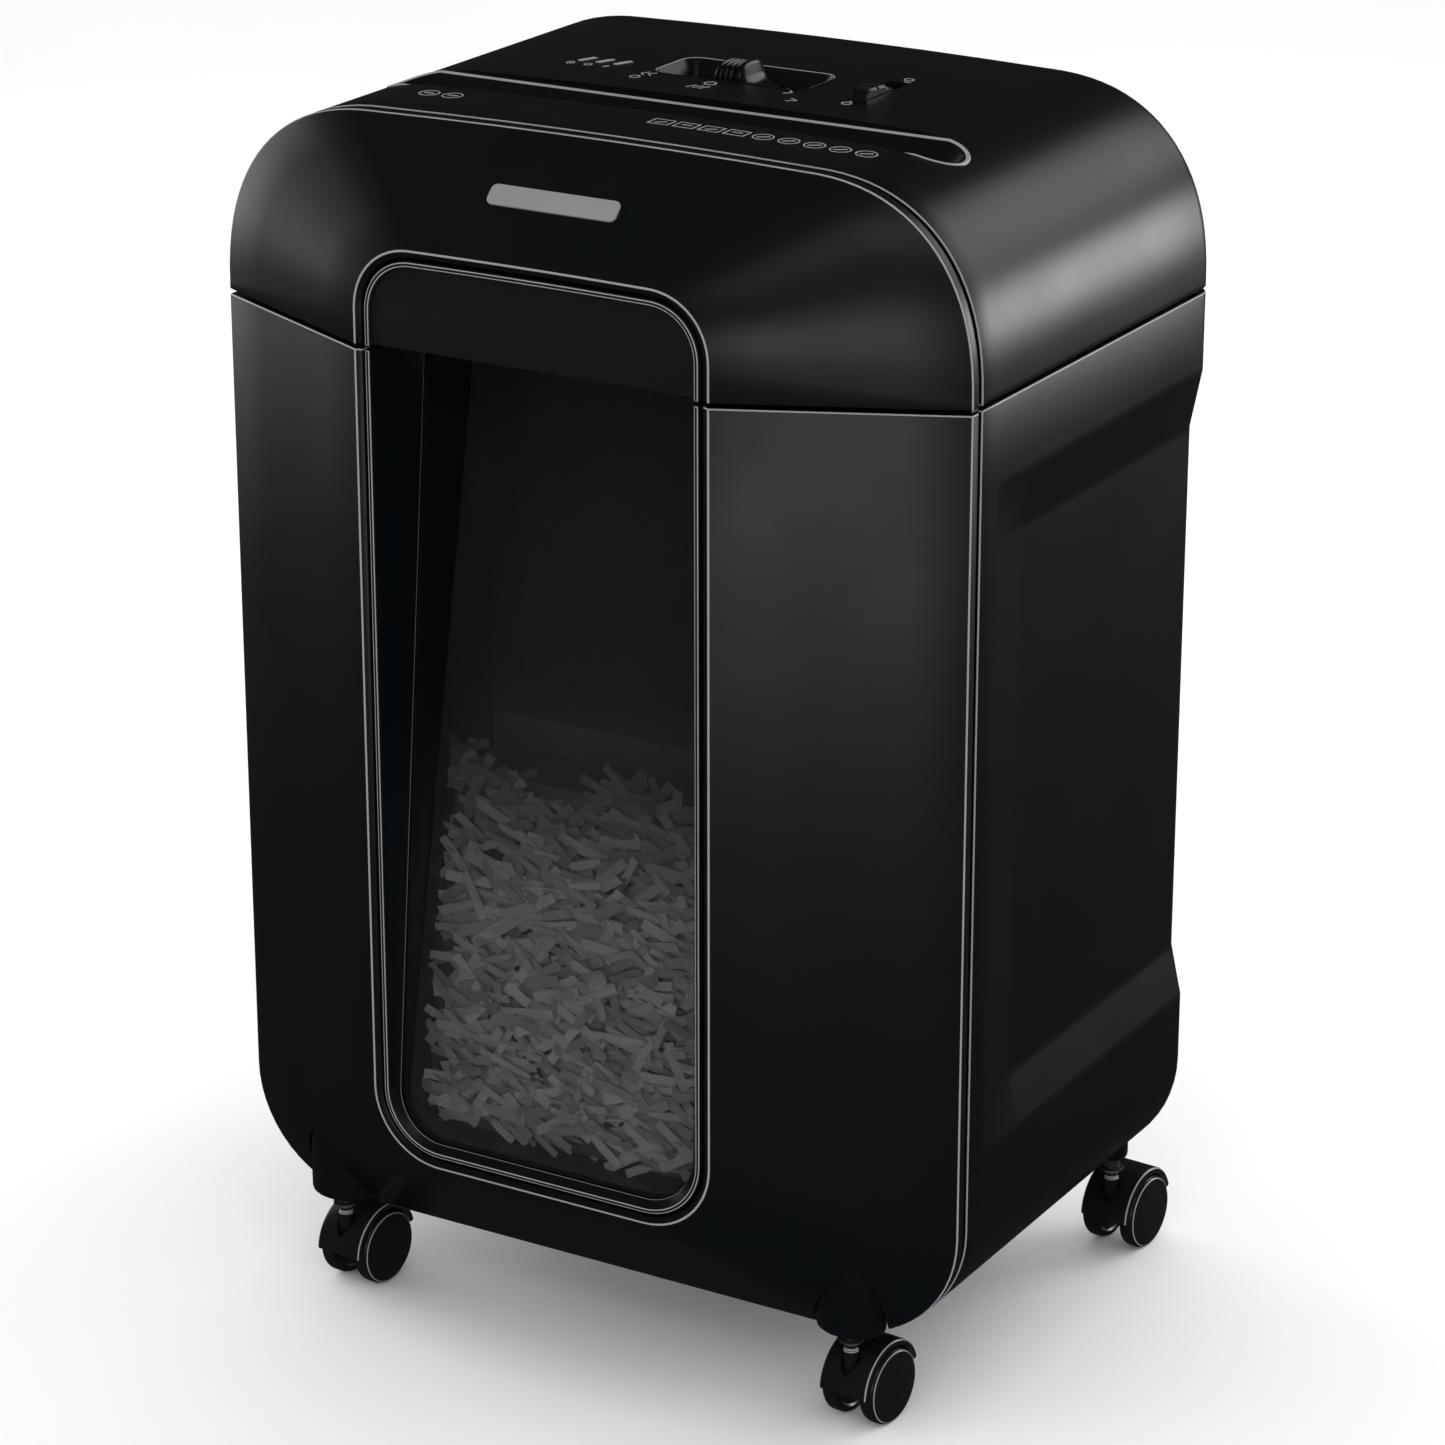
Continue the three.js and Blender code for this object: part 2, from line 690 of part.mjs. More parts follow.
function windowSurround() {
  const inner = creaseInset + 0.3;
  const outer = creaseInset - 1.3;
  const ring = loft([
    place(openingOutline(inner), 'y', shifted(creaseY, 1.6)),
    place(openingOutline(inner), 'y', 78),
    place(openingOutline(outer), 'y', 78),
    place(openingOutline(outer), 'y', shifted(creaseY, 1.6)),
  ], 'y', true);
  return cut(ring, box(-everywhere, everywhere, -10, everywhere, binTop, 2 * everywhere));
}

function binWindow() {
  const pane = loft([
    place(openingOutline(windowInset), 'y', windowY),
    place(openingOutline(windowInset), 'y', shifted(windowY, 2.6)),
  ]);
  return cut(pane, box(-everywhere, everywhere, -10, everywhere, binTop - 2, 2 * everywhere));
}

// The tub's outline from the front. Its lower corners are stepped to clear the castor sockets.
function tubOutline(inset) {
  const side = 160 - inset;
  const step = 106 - inset;
  const floor = 46 + inset;
  const ledge = 82 + inset;
  const foot = 107.5 - inset;
  return [
    [side, binTop], [side, ledge], [foot, ledge], [step, floor],
    [-step, floor], [-foot, ledge], [-side, ledge], [-side, binTop],
  ];
}

function binTub() {
  const inside = tubOutline(2).map(([x, z]) => [x, z > binTop - 5 ? binTop + 10 : z]);
  const flange = cut(
    prism(bodyOutline(6.4), 'y', tubFront, tubFront + 2),
    box(-everywhere, everywhere, 0, everywhere, splitHeight - 2, 2 * everywhere),
  );
  const opening = cut(
    prism(openingOutline(creaseInset - 1.6), 'y', 40, 60),
    box(-everywhere, everywhere, 0, everywhere, binTop - 3, 2 * everywhere),
  );
  const tub = cut(
    union(prism(tubOutline(0), 'y', tubFront, binBack), flange),
    prism(inside, 'y', tubFront + 2, binBack - 2),
    opening,
    box(-openingHalfWidth + 8, openingHalfWidth - 8, 50, 79, 300, 500),
  );
  return cut(tub, socketNotch(1), socketNotch(-1));
}

// The heap of cut paper: it leans on the window and falls away towards the back of the bin.
function paperShreds() {
  const crest = 262;
  const waist = 79;
  const back = binBack - 3;
  const inset = creaseInset + 2.4;
  const front = cut(
    loft([
      place(openingOutline(inset), 'y', shifted(windowY, 3.2)),
      place(openingOutline(inset), 'y', waist),
    ]),
    box(-everywhere, everywhere, -10, everywhere, crest, 2 * everywhere),
  );
  const floor = openingBottom + inset;
  const heap = prism([
    [waist, floor], [waist, crest], [110, crest + 3], [160, 216], [back, 150], [back, floor],
  ], 'x', -157, 157);
  const bottom = box(-103, 103, waist, back, 48.5, floor + 1);
  return union(front, heap, bottom);
}

// ---- the castors, drawn with the swivel axis at x = 0, y = 0 ----
const pinRadius = 1.9;
const bossRadius = 3.2;
const bossTop = 35.4;
const flangeBottom = 39.2;

function castorStem() {
  return union(
    rod('z', 0, 0, pinRadius, 24, flangeBottom + 1, 12),
    rod('z', 0, 0, bossRadius - 0.4, bossTop + gap, bossTop + 1.3, 20),
    rod('z', 0, 0, 5.3, flangeBottom, flangeBottom + 1.3, 20),
    rod('z', 0, 0, stemRadius, flangeBottom + 1, stemBore - 2, 12),
  );
}

// The hood covers the tops of both wheels and carries the axle. A boss in its notched front turns on the stem.
function castorHood() {
  const axleY = castorTrail;
  const axleZ = wheelRadius;
  const fenderFront = 177;
  const fender = prism([
    ...arc(axleY, axleZ, fenderRadius, fenderRadius, fenderRear, fenderFront, 14),
    ...arc(axleY, axleZ, wheelRadius + 0.9, wheelRadius + 0.9, fenderFront, fenderRear, 14),
  ], 'x', -fenderHalf, fenderHalf);
  const web = prism([
    ...arc(axleY, axleZ, fenderRadius - 0.5, fenderRadius - 0.5, fenderRear, fenderFront, 14),
    [axleY - 6, axleZ - 5],
    [axleY + 4, axleZ - 5],
  ], 'x', -wheelInner + 0.6, wheelInner - 0.6);
  const notchTip = axleZ + 8.6;
  const notch = prism([
    [-0.8, notchTip], [0.8, notchTip], [3.8, notchTip + 4.6], [5.4, notchTip + 9], [5.4, 60],
    [-5.4, 60], [-5.4, notchTip + 9], [-3.8, notchTip + 4.6],
  ], 'y', -20, 2);
  const boss = loft([
    place(circle(0, 0, 1.2, 14), 'z', notchTip - 1),
    place(circle(0, 0, bossRadius, 14), 'z', notchTip + 3.5),
    place(circle(0, 0, bossRadius, 14), 'z', bossTop),
  ], 'z');
  return cut(
    union(cut(union(fender, web), notch), boss),
    rod('z', 0, 0, pinRadius + gap, 23.5, 60, 12),
    rod('x', axleY, axleZ, 2.3, -30, 30),
  );
}

function castorAxle() {
  return rod('x', castorTrail, wheelRadius, 2, -wheelOuter + 3, wheelOuter - 3, 10);
}

function castorWheel(side) {
  const wheel = turned([
    [0, wheelOuter - 2.7], [2.35, wheelOuter - 2.7], [2.35, wheelInner], [wheelRadius - 0.8, wheelInner],
    [wheelRadius, wheelInner + 0.8], [wheelRadius, wheelOuter - 2.6], [wheelRadius - 0.9, wheelOuter - 1.4],
    [wheelRadius - 2, wheelOuter - 1], [9, wheelOuter - 0.3], [0, wheelOuter],
  ], 20);
  return side > 0 ? wheel : wheel.mirror([1, 0, 0]);
}

// ---- materials and assembly ----
function plastic(colour, roughness) {
  return () => new THREE.MeshStandardMaterial({ color: colour, roughness, metalness: 0 });
}

function metal(colour, roughness) {
  return () => new THREE.MeshStandardMaterial({ color: colour, roughness, metalness: 1 });
}

const shellBlack = plastic(0x0b0d0e, 0.42);
const panelGrey = plastic(0x1d2022, 0.45);
const glossBlack = plastic(0x060707, 0.18);
const blackRubber = plastic(0x0a0a0a, 0.7);
const smokedClear = plastic(0x14181a, 0.08);
const lampClear = plastic(0x8a9096, 0.2);
const paper = plastic(0xb9b9b4, 0.9);
const steel = metal(0x8d9093, 0.35);
const silver = metal(0xb8bcc0, 0.3);
const nylon = plastic(0xd8d5c8, 0.5);
const boardGreen = plastic(0x1d4a2c, 0.5);

const shredder = new THREE.Group();

function add(parent, name, solid, material) {
  const mesh = new THREE.Mesh(toGeometry(solid), material());
  mesh.name = name;
  parent.add(mesh);
  return mesh;
}

function addHead(parent) {
  add(parent, 'head_cover', headCover(), shellBlack);
  add(parent, 'head_fascia', cut(frontSkin(), belowHead), shellBlack);
  add(parent, 'head_centre_panel', headCentrePanel(), panelGrey);
  add(parent, 'head_base_plate', headBasePlate(), shellBlack);
  add(parent, 'entry_bezel', entryBezel(), shellBlack);
  add(parent, 'throat_guide_front', throatGuide(-1), steel);
  add(parent, 'throat_guide_rear', throatGuide(1), steel);
  add(parent, 'switch_dish', switchDish(), shellBlack);
  add(parent, 'control_knob', controlKnob(), glossBlack);
  add(parent, 'safety_lock_slider', safetyLock(), glossBlack);
  add(parent, 'lamp_light_guide', lampGuide(), lampClear);
  add(parent, 'cord_gland', cordGland(), blackRubber);
  const { badge, slope } = frontBadge();
  const plate = add(parent, 'front_badge', badge, silver);
  plate.rotation.x = slope;
  plate.position.set(0, 20.2, openingTop + 20.2 * Math.tan(slope) + 0.4);
}

function addShreddingBlock(parent) {
  const firstFront = -cutterHalfLength + 2;
  const firstRear = firstFront + discPitch / 2;
  const block = new THREE.Group();
  parent.add(block);
  for (const [name, y, first, reach, turn] of [
    ['front', frontCutterY, firstFront, -shaftGearX + 0.5, 180 / shaftGear],
    ['rear', rearCutterY, firstRear, -driveGearX + 1, 0],
  ]) {
    const shaft = add(block, `cutter_${name}`, cutter(first, reach), steel);
    shaft.position.set(0, y, cutterHeight);
    add(block, `cutter_gear_${name}`, gear(shaftGear, turn, y, shaftGearX, journalRadius + gap), steel);
  }
  add(block, 'drive_gear', gear(driveGear, 0, rearCutterY, driveGearX, journalRadius + gap), nylon);
  add(block, 'idler_gear', gear(idlerGear, 180 / idlerGear, idlerY, driveGearX, 3 + gap), nylon);
  add(block, 'motor_pinion', motorPinion(), steel);
  add(block, 'motor', motor(), steel);
  add(block, 'side_plate_left', gearSidePlate(), steel);
  add(block, 'side_plate_right', sidePlate(1, rearCutterY + 28), steel);
  for (const [sideName, side] of [['left', -1], ['right', 1]]) {
    add(block, `bush_front_${sideName}`, bush(side, frontCutterY), nylon);
    add(block, `bush_rear_${sideName}`, bush(side, rearCutterY), nylon);
  }
  add(block, 'tie_rod_front', tieRod(frontCutterY - 14), steel);
  add(block, 'tie_rod_rear', tieRod(rearCutterY + 14), steel);
  add(block, 'stripper_comb_front', stripperComb(frontCutterY - 17.5, 1, firstFront), nylon);
  add(block, 'stripper_comb_rear', stripperComb(rearCutterY + 17.5, -1, firstRear), nylon);
  add(block, 'control_board', controlBoard(), boardGreen);
  add(block, 'bin_switch', binSwitch(), nylon);
}

function addBin(parent) {
  const front = cut(frontSkin(), aboveSplit, socketNotch(1), socketNotch(-1));
  add(parent, 'bin_front', front, shellBlack);
  add(parent, 'bin_bezel', binBezel(), shellBlack);
  add(parent, 'window_surround', windowSurround(), glossBlack);
  add(parent, 'bin_window', binWindow(), smokedClear);
  add(parent, 'bin_tub', binTub(), shellBlack);
  add(parent, 'paper_shreds', paperShreds(), paper);
}

function addCastor(parent, name, spot, side) {
  const castor = new THREE.Group();
  castor.position.set(side * spot.x, spot.y, 0);
  castor.rotation.z = THREE.MathUtils.degToRad(spot.heading);
  parent.add(castor);
  add(castor, `castor_${name}_stem`, castorStem(), steel);
  add(castor, `castor_${name}_hood`, castorHood(), glossBlack);
  add(castor, `castor_${name}_axle`, castorAxle(), steel);
  for (const [wheelName, wheelSide] of [['left', -1], ['right', 1]]) {
    const wheel = add(castor, `castor_${name}_wheel_${wheelName}`, castorWheel(wheelSide), blackRubber);
    wheel.position.set(0, castorTrail, wheelRadius);
  }
}

addHead(shredder);
addShreddingBlock(shredder);
add(shredder, 'cabinet_shell', cabinetShell(), shellBlack);
addBin(shredder);
for (const [sideName, side] of [['left', -1], ['right', 1]]) {
  addCastor(shredder, `front_${sideName}`, frontCastor, side);
  addCastor(shredder, `rear_${sideName}`, rearCastor, side);
}
shredder.position.y = -overallDepth / 2;

export default shredder;
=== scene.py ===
"""Looks of an office paper shredder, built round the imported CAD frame.

Sizes are in millimetres in the design's own axes: x from the middle, y back from the front face and
z up from the floor. at() turns them into the frame's metres.
"""

import math
import random

import bmesh
import bpy
from mathutils import Matrix, Vector


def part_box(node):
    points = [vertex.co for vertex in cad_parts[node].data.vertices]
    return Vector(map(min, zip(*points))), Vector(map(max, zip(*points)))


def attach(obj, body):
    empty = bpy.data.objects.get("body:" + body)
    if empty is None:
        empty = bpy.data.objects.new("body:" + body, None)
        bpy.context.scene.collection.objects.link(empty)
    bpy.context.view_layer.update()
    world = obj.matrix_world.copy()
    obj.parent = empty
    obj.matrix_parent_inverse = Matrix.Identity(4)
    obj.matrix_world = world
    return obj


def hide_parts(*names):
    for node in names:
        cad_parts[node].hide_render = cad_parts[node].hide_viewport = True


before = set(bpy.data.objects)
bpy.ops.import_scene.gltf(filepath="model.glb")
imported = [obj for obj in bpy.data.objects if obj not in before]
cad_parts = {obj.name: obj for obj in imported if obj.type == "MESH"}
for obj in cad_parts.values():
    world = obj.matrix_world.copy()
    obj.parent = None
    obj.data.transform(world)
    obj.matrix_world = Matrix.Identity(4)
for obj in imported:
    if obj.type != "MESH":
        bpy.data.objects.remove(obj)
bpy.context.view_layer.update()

MM = 0.001
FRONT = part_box("bin_bezel")[0][1] - 0.4 * MM  # the front face lies this far ahead of the bead

# ---- driving dimensions, the same as the CAD model's ----
BODY_WIDTH = 340
BODY_TOP = 520.5
BODY_BOTTOM = 42
BODY_BACK = 252
SPLIT = 435
SPLIT_GAP = 2
WALL = 2.5
GAP = 0.3
FRONT_SETBACK = 41.7
FRONT_BAND = 4.8
SEAM = 2.8
SHELL_FRONT = FRONT_SETBACK + FRONT_BAND + SEAM
BACK_ROUND = 10
TOP_CORNER = (75, 80, 2.35)
TOP_CROWN = 1.3
TOP_FLAT = BODY_WIDTH / 2 - TOP_CORNER[0]
BOTTOM_CORNER = 52
OPENING = {"half": 80, "top": 478, "bottom": 89.5, "corner": 27, "foot": 31}

ENTRY_Y = 106
ENTRY_HALF = (132, 15)
THROAT_HALF = 114
THROAT_HEIGHT = 499
SWITCH = (-1.5, 167)
SWITCH_HALF = (36.5, 17)
DISH_FLOOR = 511
LOCK = (59, 168)
LOCK_HALF = (4.4, 19)
LOCK_TRAVEL = 10
LAMP_X = (-72, -63.5, -55)
LAMP_Y = 160
GLAND = (-115, 460)
GLAND_RADIUS = 7
VENT = {"count": 7, "first": 40, "pitch": 12, "width": 5, "bottom": 452, "top": 492}
HEAD_CUT = (500, 600)  # from inside the head to above it

WHEEL_RADIUS = 16.2
WHEEL_INNER = 5.7
WHEEL_OUTER = 13.8
CASTOR_TRAIL = 13.2
FENDER_RADIUS = WHEEL_RADIUS + 3.6
FENDER_HALF = 11.4
FENDER_ENDS = (18, 177)  # in degrees about the axle
BOSS_RADIUS = 3.2
BOSS_TOP = 35.4
FLANGE_BOTTOM = 39.2
SOCKET_BOTTOM = 45
STEM_TOP = 62
STEM_HOLE = 4
CASTORS = {  # where each stem stands, and its heading in degrees about the stem
    "front_left": (-124, 38.7, -5),
    "front_right": (124, 38.7, -5),
    "rear_left": (-144, 236, -4),
    "rear_right": (144, 236, -4),
}
SOCKETS = {"front": (15, 11.6, 78), "rear": (6.8, 6.8, 68)}  # half width, half depth and top


def at(x, y, z):
    """A point of the design as a point of the frame."""
    return Vector((x * MM, y * MM + FRONT, z * MM))


# ---- outlines ----
def arc(centre_u, centre_v, radius_u, radius_v, start, end, steps, power=2.0):
    """Points on an elliptical arc between two angles in degrees. A power above 2 squares it off."""
    points = []
    for i in range(steps + 1):
        angle = math.radians(start + (end - start) * i / steps)
        c, s = math.cos(angle), math.sin(angle)
        points.append(
            (
                centre_u + radius_u * math.copysign(abs(c) ** (2 / power), c),
                centre_v + radius_v * math.copysign(abs(s) ** (2 / power), s),
            )
        )
    return points


def circle(centre_u, centre_v, radius, steps):
    return arc(centre_u, centre_v, radius, radius, 0, 360 - 360 / steps, steps - 1)


def rounded_box(centre, half, radius, steps=8):
    u, v = centre
    du, dv = half[0] - radius, half[1] - radius
    points = []
    for su, sv, start in ((1, 1, 0), (-1, 1, 90), (-1, -1, 180), (1, -1, 270)):
        points += arc(u + su * du, v + sv * dv, radius, radius, start, start + 90, steps)
    return points


def rounded_outline(half, top, bottom, corner, foot, crown, side_heights=()):
    """The shape seen from the front, anticlockwise from the right-hand end of its top right corner."""
    width, height, power = corner
    flat = half - width
    upper_steps, lower_steps, crown_steps = 22, 14, 7

    def upper(side, start):
        return arc(side * flat, top - crown - height, width, height, start, start + 90, upper_steps, power)

    def lower(side, start):
        return arc(side * (half - foot), bottom + foot, foot, foot, start, start + 90, lower_steps)

    shares = [1 - 2 * i / crown_steps for i in range(1, crown_steps)]
    middle = [(share * flat, top - crown * share**2) for share in shares]
    down = [(-half, z) for z in sorted(side_heights, reverse=True)]
    up = [(half, z) for z in sorted(side_heights)]
    return upper(1, 0) + middle + upper(-1, 90) + down + lower(-1, 180) + lower(1, 270) + up


def body_outline(inset, side_heights=()):
    width, height, power = TOP_CORNER
    return rounded_outline(
        BODY_WIDTH / 2 - inset,
        BODY_TOP - inset,
        BODY_BOTTOM + inset,
        (width - inset, height - inset, power),
        BOTTOM_CORNER - inset,
        TOP_CROWN,
        side_heights,
    )


def opening_outline(inset):
    corner = OPENING["corner"] - inset
    return rounded_outline(
        OPENING["half"] - inset,
        OPENING["top"] - inset,
        OPENING["bottom"] + inset,
        (corner, corner, 2.1),
        OPENING["foot"] - inset,
        0.4,
    )


def surface_height(x):
    """Height of the head's outer surface above a given x."""
    width, height, power = TOP_CORNER
    beyond = max(0, abs(x) - TOP_FLAT) / width
    drop = height * (1 - (1 - beyond**power) ** (1 / power))
    return BODY_TOP - TOP_CROWN * min(1, abs(x) / TOP_FLAT) ** 2 - drop


WINDOW_BOTTOM = OPENING["bottom"] + 7.5


def crease_y(x, z):
    """Depth of the crease round the window, which leans back as it rises."""
    return 2.3 + (z - WINDOW_BOTTOM) * 0.095


def window_y(x, z):
    """Depth of the pane's outer face, which leans back twice as far."""
    return 5 + (z - WINDOW_BOTTOM) * 0.191


def shifted(level, distance):
    """A level that varies, moved by a distance."""
    return lambda u, v: level(u, v) + distance


def place(outline, axis, level):
    """An outline as points in space: across the axis at a level, which may depend on the point."""
    points = []
    for u, v in outline:
        w = level(u, v) if callable(level) else level
        points.append({"x": (w, u, v), "y": (u, w, v), "z": (u, v, w)}[axis])
    return points


def between(loop_a, loop_b, share):
    """The loop that lies at a share of the way from one loop to another."""
    return [
        tuple(a + (b - a) * share for a, b in zip(point_a, point_b))
        for point_a, point_b in zip(loop_a, loop_b)
    ]


# ---- meshes ----
def skin(loops, closed=False, painted_highlights=()):
    """A surface over loops of equal length, capped at both ends or, when closed, joined end to end.

    The bands listed take the painted highlight material: a lighter grey that paints the highlight on a
    rounded edge."""
    bm = bmesh.new()
    rings = [[bm.verts.new(at(*point)) for point in loop] for loop in loops]
    count = len(rings[0])
    following = rings[1:] + (rings[:1] if closed else [])
    for band, (here, there) in enumerate(zip(rings, following)):
        for i in range(count):
            j = (i + 1) % count
            face = bm.faces.new((here[i], here[j], there[j], there[i]))
            face.material_index = int(band in painted_highlights)
    if not closed:
        bm.faces.new(rings[0][::-1])
        bm.faces.new(rings[-1])
    bmesh.ops.recalc_face_normals(bm, faces=bm.faces)
    return bm


def prism(outline, axis, start, end):
    return skin([place(outline, axis, start), place(outline, axis, end)])


def block(low, high):
    outline = [(low[0], low[1]), (high[0], low[1]), (high[0], high[1]), (low[0], high[1])]
    return prism(outline, "z", low[2], high[2])


def turned(profile, axis, centre, steps, painted_highlights):
    """A body of revolution about an axis through centre. The profile is (radius, along), pole to pole. The
    bands listed in the last argument take the painted highlight material.
    """
    bm = bmesh.new()
    rings = []
    for radius, along in profile:
        ring = []
        for i in range(steps if radius > 0 else 1):
            angle = 2 * math.pi * i / steps
            u, v = radius * math.cos(angle), radius * math.sin(angle)
            offset = {"x": (along, u, v), "y": (u, along, v), "z": (u, v, along)}[axis]
            ring.append(bm.verts.new(at(*(c + o for c, o in zip(centre, offset)))))
        rings.append(ring)
    for band, (here, there) in enumerate(zip(rings, rings[1:])):
        for i in range(steps):
            j = (i + 1) % steps
            corners = [here[k % len(here)] for k in (i, j)] + [there[k % len(there)] for k in (j, i)]
            unique = list(dict.fromkeys(corners))
            if len(unique) > 2:
                bm.faces.new(unique).material_index = int(band in painted_highlights)
    bmesh.ops.recalc_face_normals(bm, faces=bm.faces)
    return bm


def keep_side(bm, height, above):
    """Cuts a closed mesh at a height and closes the cut."""
    geometry = bm.verts[:] + bm.edges[:] + bm.faces[:]
    result = bmesh.ops.bisect_plane(
        bm,
        geom=geometry,
        dist=1e-7,
        plane_co=at(0, 0, height),
        plane_no=(0, 0, 1),
        clear_inner=above,
        clear_outer=not above,
    )
    edges = [item for item in result["geom_cut"] if isinstance(item, bmesh.types.BMEdge)]
    bmesh.ops.edgeloop_fill(bm, edges=edges)
    bmesh.ops.recalc_face_normals(bm, faces=bm.faces)
    return bm


def near(point, axis, level, reach):
    """Whether a point lies within reach of a level of x, y or z. A level may depend on x and z."""
    spot = (point.x / MM, (point.y - FRONT) / MM, point.z / MM)
    wanted = level(spot[0], spot[2]) if callable(level) else level
    return abs(spot["xyz".index(axis)] - wanted) < reach


def round_edges(bm, radius, segments=3, sharper_than=28, painted_highlights=()):
    """Rounds the sharp edges.

    The roundings that lie at one of the listed (axis, level) pairs take the painted highlight material: a
    lighter grey strip that paints the highlight on a rounded edge."""
    edges = []
    for edge in bm.edges:
        if len(edge.link_faces) == 2 and edge.calc_face_angle(0) > math.radians(sharper_than):
            edges.append(edge)
    bmesh.ops.bevel(
        bm,
        geom=edges,
        offset=radius * MM,
        segments=segments,
        profile=0.5,
        affect="EDGES",
        clamp_overlap=False,
        material=1,
    )
    reach = radius + 0.05
    for face in bm.faces:
        if face.material_index:
            middle = face.calc_center_median()
            face.material_index = int(any(near(middle, *where, reach) for where in painted_highlights))
    return bm


def mesh_from(bm, name):
    mesh = bpy.data.meshes.new(name)
    bm.to_mesh(mesh)
    bm.free()
    return mesh


def new_object(name, mesh):
    obj = bpy.data.objects.new(name, mesh)
    bpy.context.scene.collection.objects.link(obj)
    return obj


def blank_object(bm):
    """An object with two empty material slots, so that cutting it keeps its painted edge highlights."""
    mesh = mesh_from(bm, "blank")
    mesh.materials.append(None)
    mesh.materials.append(None)
    return new_object("blank", mesh)


def carved(bm, *cutters, operation="DIFFERENCE"):
    """The mesh with each cutter taken off it, or joined to it."""
    obj = blank_object(bm)
    for cutter in cutters:
        tool = blank_object(cutter)
        step = obj.modifiers.new("carve", "BOOLEAN")
        step.operation = operation
        step.solver = "EXACT"
        step.object = tool
        graph = bpy.context.evaluated_depsgraph_get()
        mesh = bpy.data.meshes.new_from_object(obj.evaluated_get(graph))
        obj.modifiers.clear()
        obj.data = mesh
        bpy.data.objects.remove(tool)
    result = bmesh.new()
    result.from_mesh(obj.data)
    bpy.data.objects.remove(obj)
    bmesh.ops.remove_doubles(result, verts=result.verts, dist=1e-6)
    return result


def merged(parts):
    """Several closed meshes as one."""
    whole = bmesh.new()
    for part in parts:
        mesh = mesh_from(part, "part")
        whole.from_mesh(mesh)
        bpy.data.meshes.remove(mesh)
    return whole


def piece(name, bm, material, body, replaces=(), smooth_below=35):
    """A visible piece that rides on a body of the frame, in place of the CAD nodes it replaces."""
    mesh = mesh_from(bm, name)
    mesh.materials.append(material)
    # Faces marked 1 take the painted edge highlight material.
    if any(face.material_index == 1 for face in mesh.polygons):
        mesh.materials.append(PAINTED_HIGHLIGHT)
    mesh.shade_smooth()
    mesh.set_sharp_from_angle(angle=math.radians(smooth_below))
    obj = new_object(name, mesh)
    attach(obj, body)
    if replaces:
        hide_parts(*replaces)
    return obj


# ---- materials ----
def principled(name, colour, roughness, metallic=0.0):
    material = bpy.data.materials.new(name)
    material.use_nodes = True
    shader = material.node_tree.nodes["Principled BSDF"]
    shader.inputs["Base Color"].default_value = (*colour, 1)
    shader.inputs["Roughness"].default_value = roughness
    shader.inputs["Metallic"].default_value = metallic
    return material, material.node_tree, shader


def add_noise(tree, scale, detail, stretch=(1, 1, 1)):
    coordinates = tree.nodes.new("ShaderNodeTexCoord")
    mapping = tree.nodes.new("ShaderNodeMapping")
    mapping.inputs["Scale"].default_value = stretch
    noise = tree.nodes.new("ShaderNodeTexNoise")
    noise.inputs["Scale"].default_value = scale
    noise.inputs["Detail"].default_value = detail
    tree.links.new(coordinates.outputs["Object"], mapping.inputs["Vector"])
    tree.links.new(mapping.outputs["Vector"], noise.inputs["Vector"])
    return noise.outputs["Fac"]


def vary(tree, shader, socket, source, low, high):
    """Drives a shader value by a noise, between two values."""
    ramp = tree.nodes.new("ShaderNodeMapRange")
    ramp.inputs["To Min"].default_value = low
    ramp.inputs["To Max"].default_value = high
    tree.links.new(source, ramp.inputs["Value"])
    tree.links.new(ramp.outputs["Result"], shader.inputs[socket])


def tint(tree, shader, source, dark, light):
    """Drives the base colour by a noise, between two colours."""
    mix = tree.nodes.new("ShaderNodeMix")
    mix.data_type = "RGBA"
    mix.inputs["A"].default_value = (*dark, 1)
    mix.inputs["B"].default_value = (*light, 1)
    tree.links.new(source, mix.inputs["Factor"])
    tree.links.new(mix.outputs["Result"], shader.inputs["Base Color"])


def emboss(tree, shader, source, strength, distance):
    bump = tree.nodes.new("ShaderNodeBump")
    bump.inputs["Strength"].default_value = strength
    bump.inputs["Distance"].default_value = distance
    tree.links.new(source, bump.inputs["Height"])
    tree.links.new(bump.outputs["Normal"], shader.inputs["Normal"])


def moulded(name, colour, roughness, grain=0.25, specular=0.2):
    """Spark-eroded moulded plastic: a fine even grain, and a faint cloudiness in its gloss."""
    material, tree, shader = principled(name, colour, roughness)
    shader.inputs["Specular IOR Level"].default_value = specular
    cloud = add_noise(tree, 22, 3)
    vary(tree, shader, "Roughness", cloud, roughness - 0.04, roughness + 0.04)
    lighter = tuple(channel * 1.35 for channel in colour)
    tint(tree, shader, add_noise(tree, 60, 5), colour, lighter)
    emboss(tree, shader, add_noise(tree, 2600, 2), grain, 0.00006)
    return material


def metal(name, colour, roughness, stretch, metallic=0.8):
    """Drawn or ground metal, streaked along one direction."""
    material, tree, shader = principled(name, colour, roughness, metallic)
    streaks = add_noise(tree, 300, 4, stretch)
    vary(tree, shader, "Roughness", streaks, roughness - 0.08, roughness + 0.1)
    tint(tree, shader, add_noise(tree, 40, 4), tuple(c * 0.8 for c in colour), colour)
    emboss(tree, shader, streaks, 0.15, 0.00005)
    return material


def smoked_window():
    material, tree, shader = principled("smoked_window", (0.012, 0.014, 0.016), 0.1)
    shader.inputs["Alpha"].default_value = 0.45
    vary(tree, shader, "Roughness", add_noise(tree, 30, 3), 0.07, 0.14)
    tint(tree, shader, add_noise(tree, 90, 3), (0.010, 0.012, 0.014), (0.016, 0.018, 0.02))
    return material


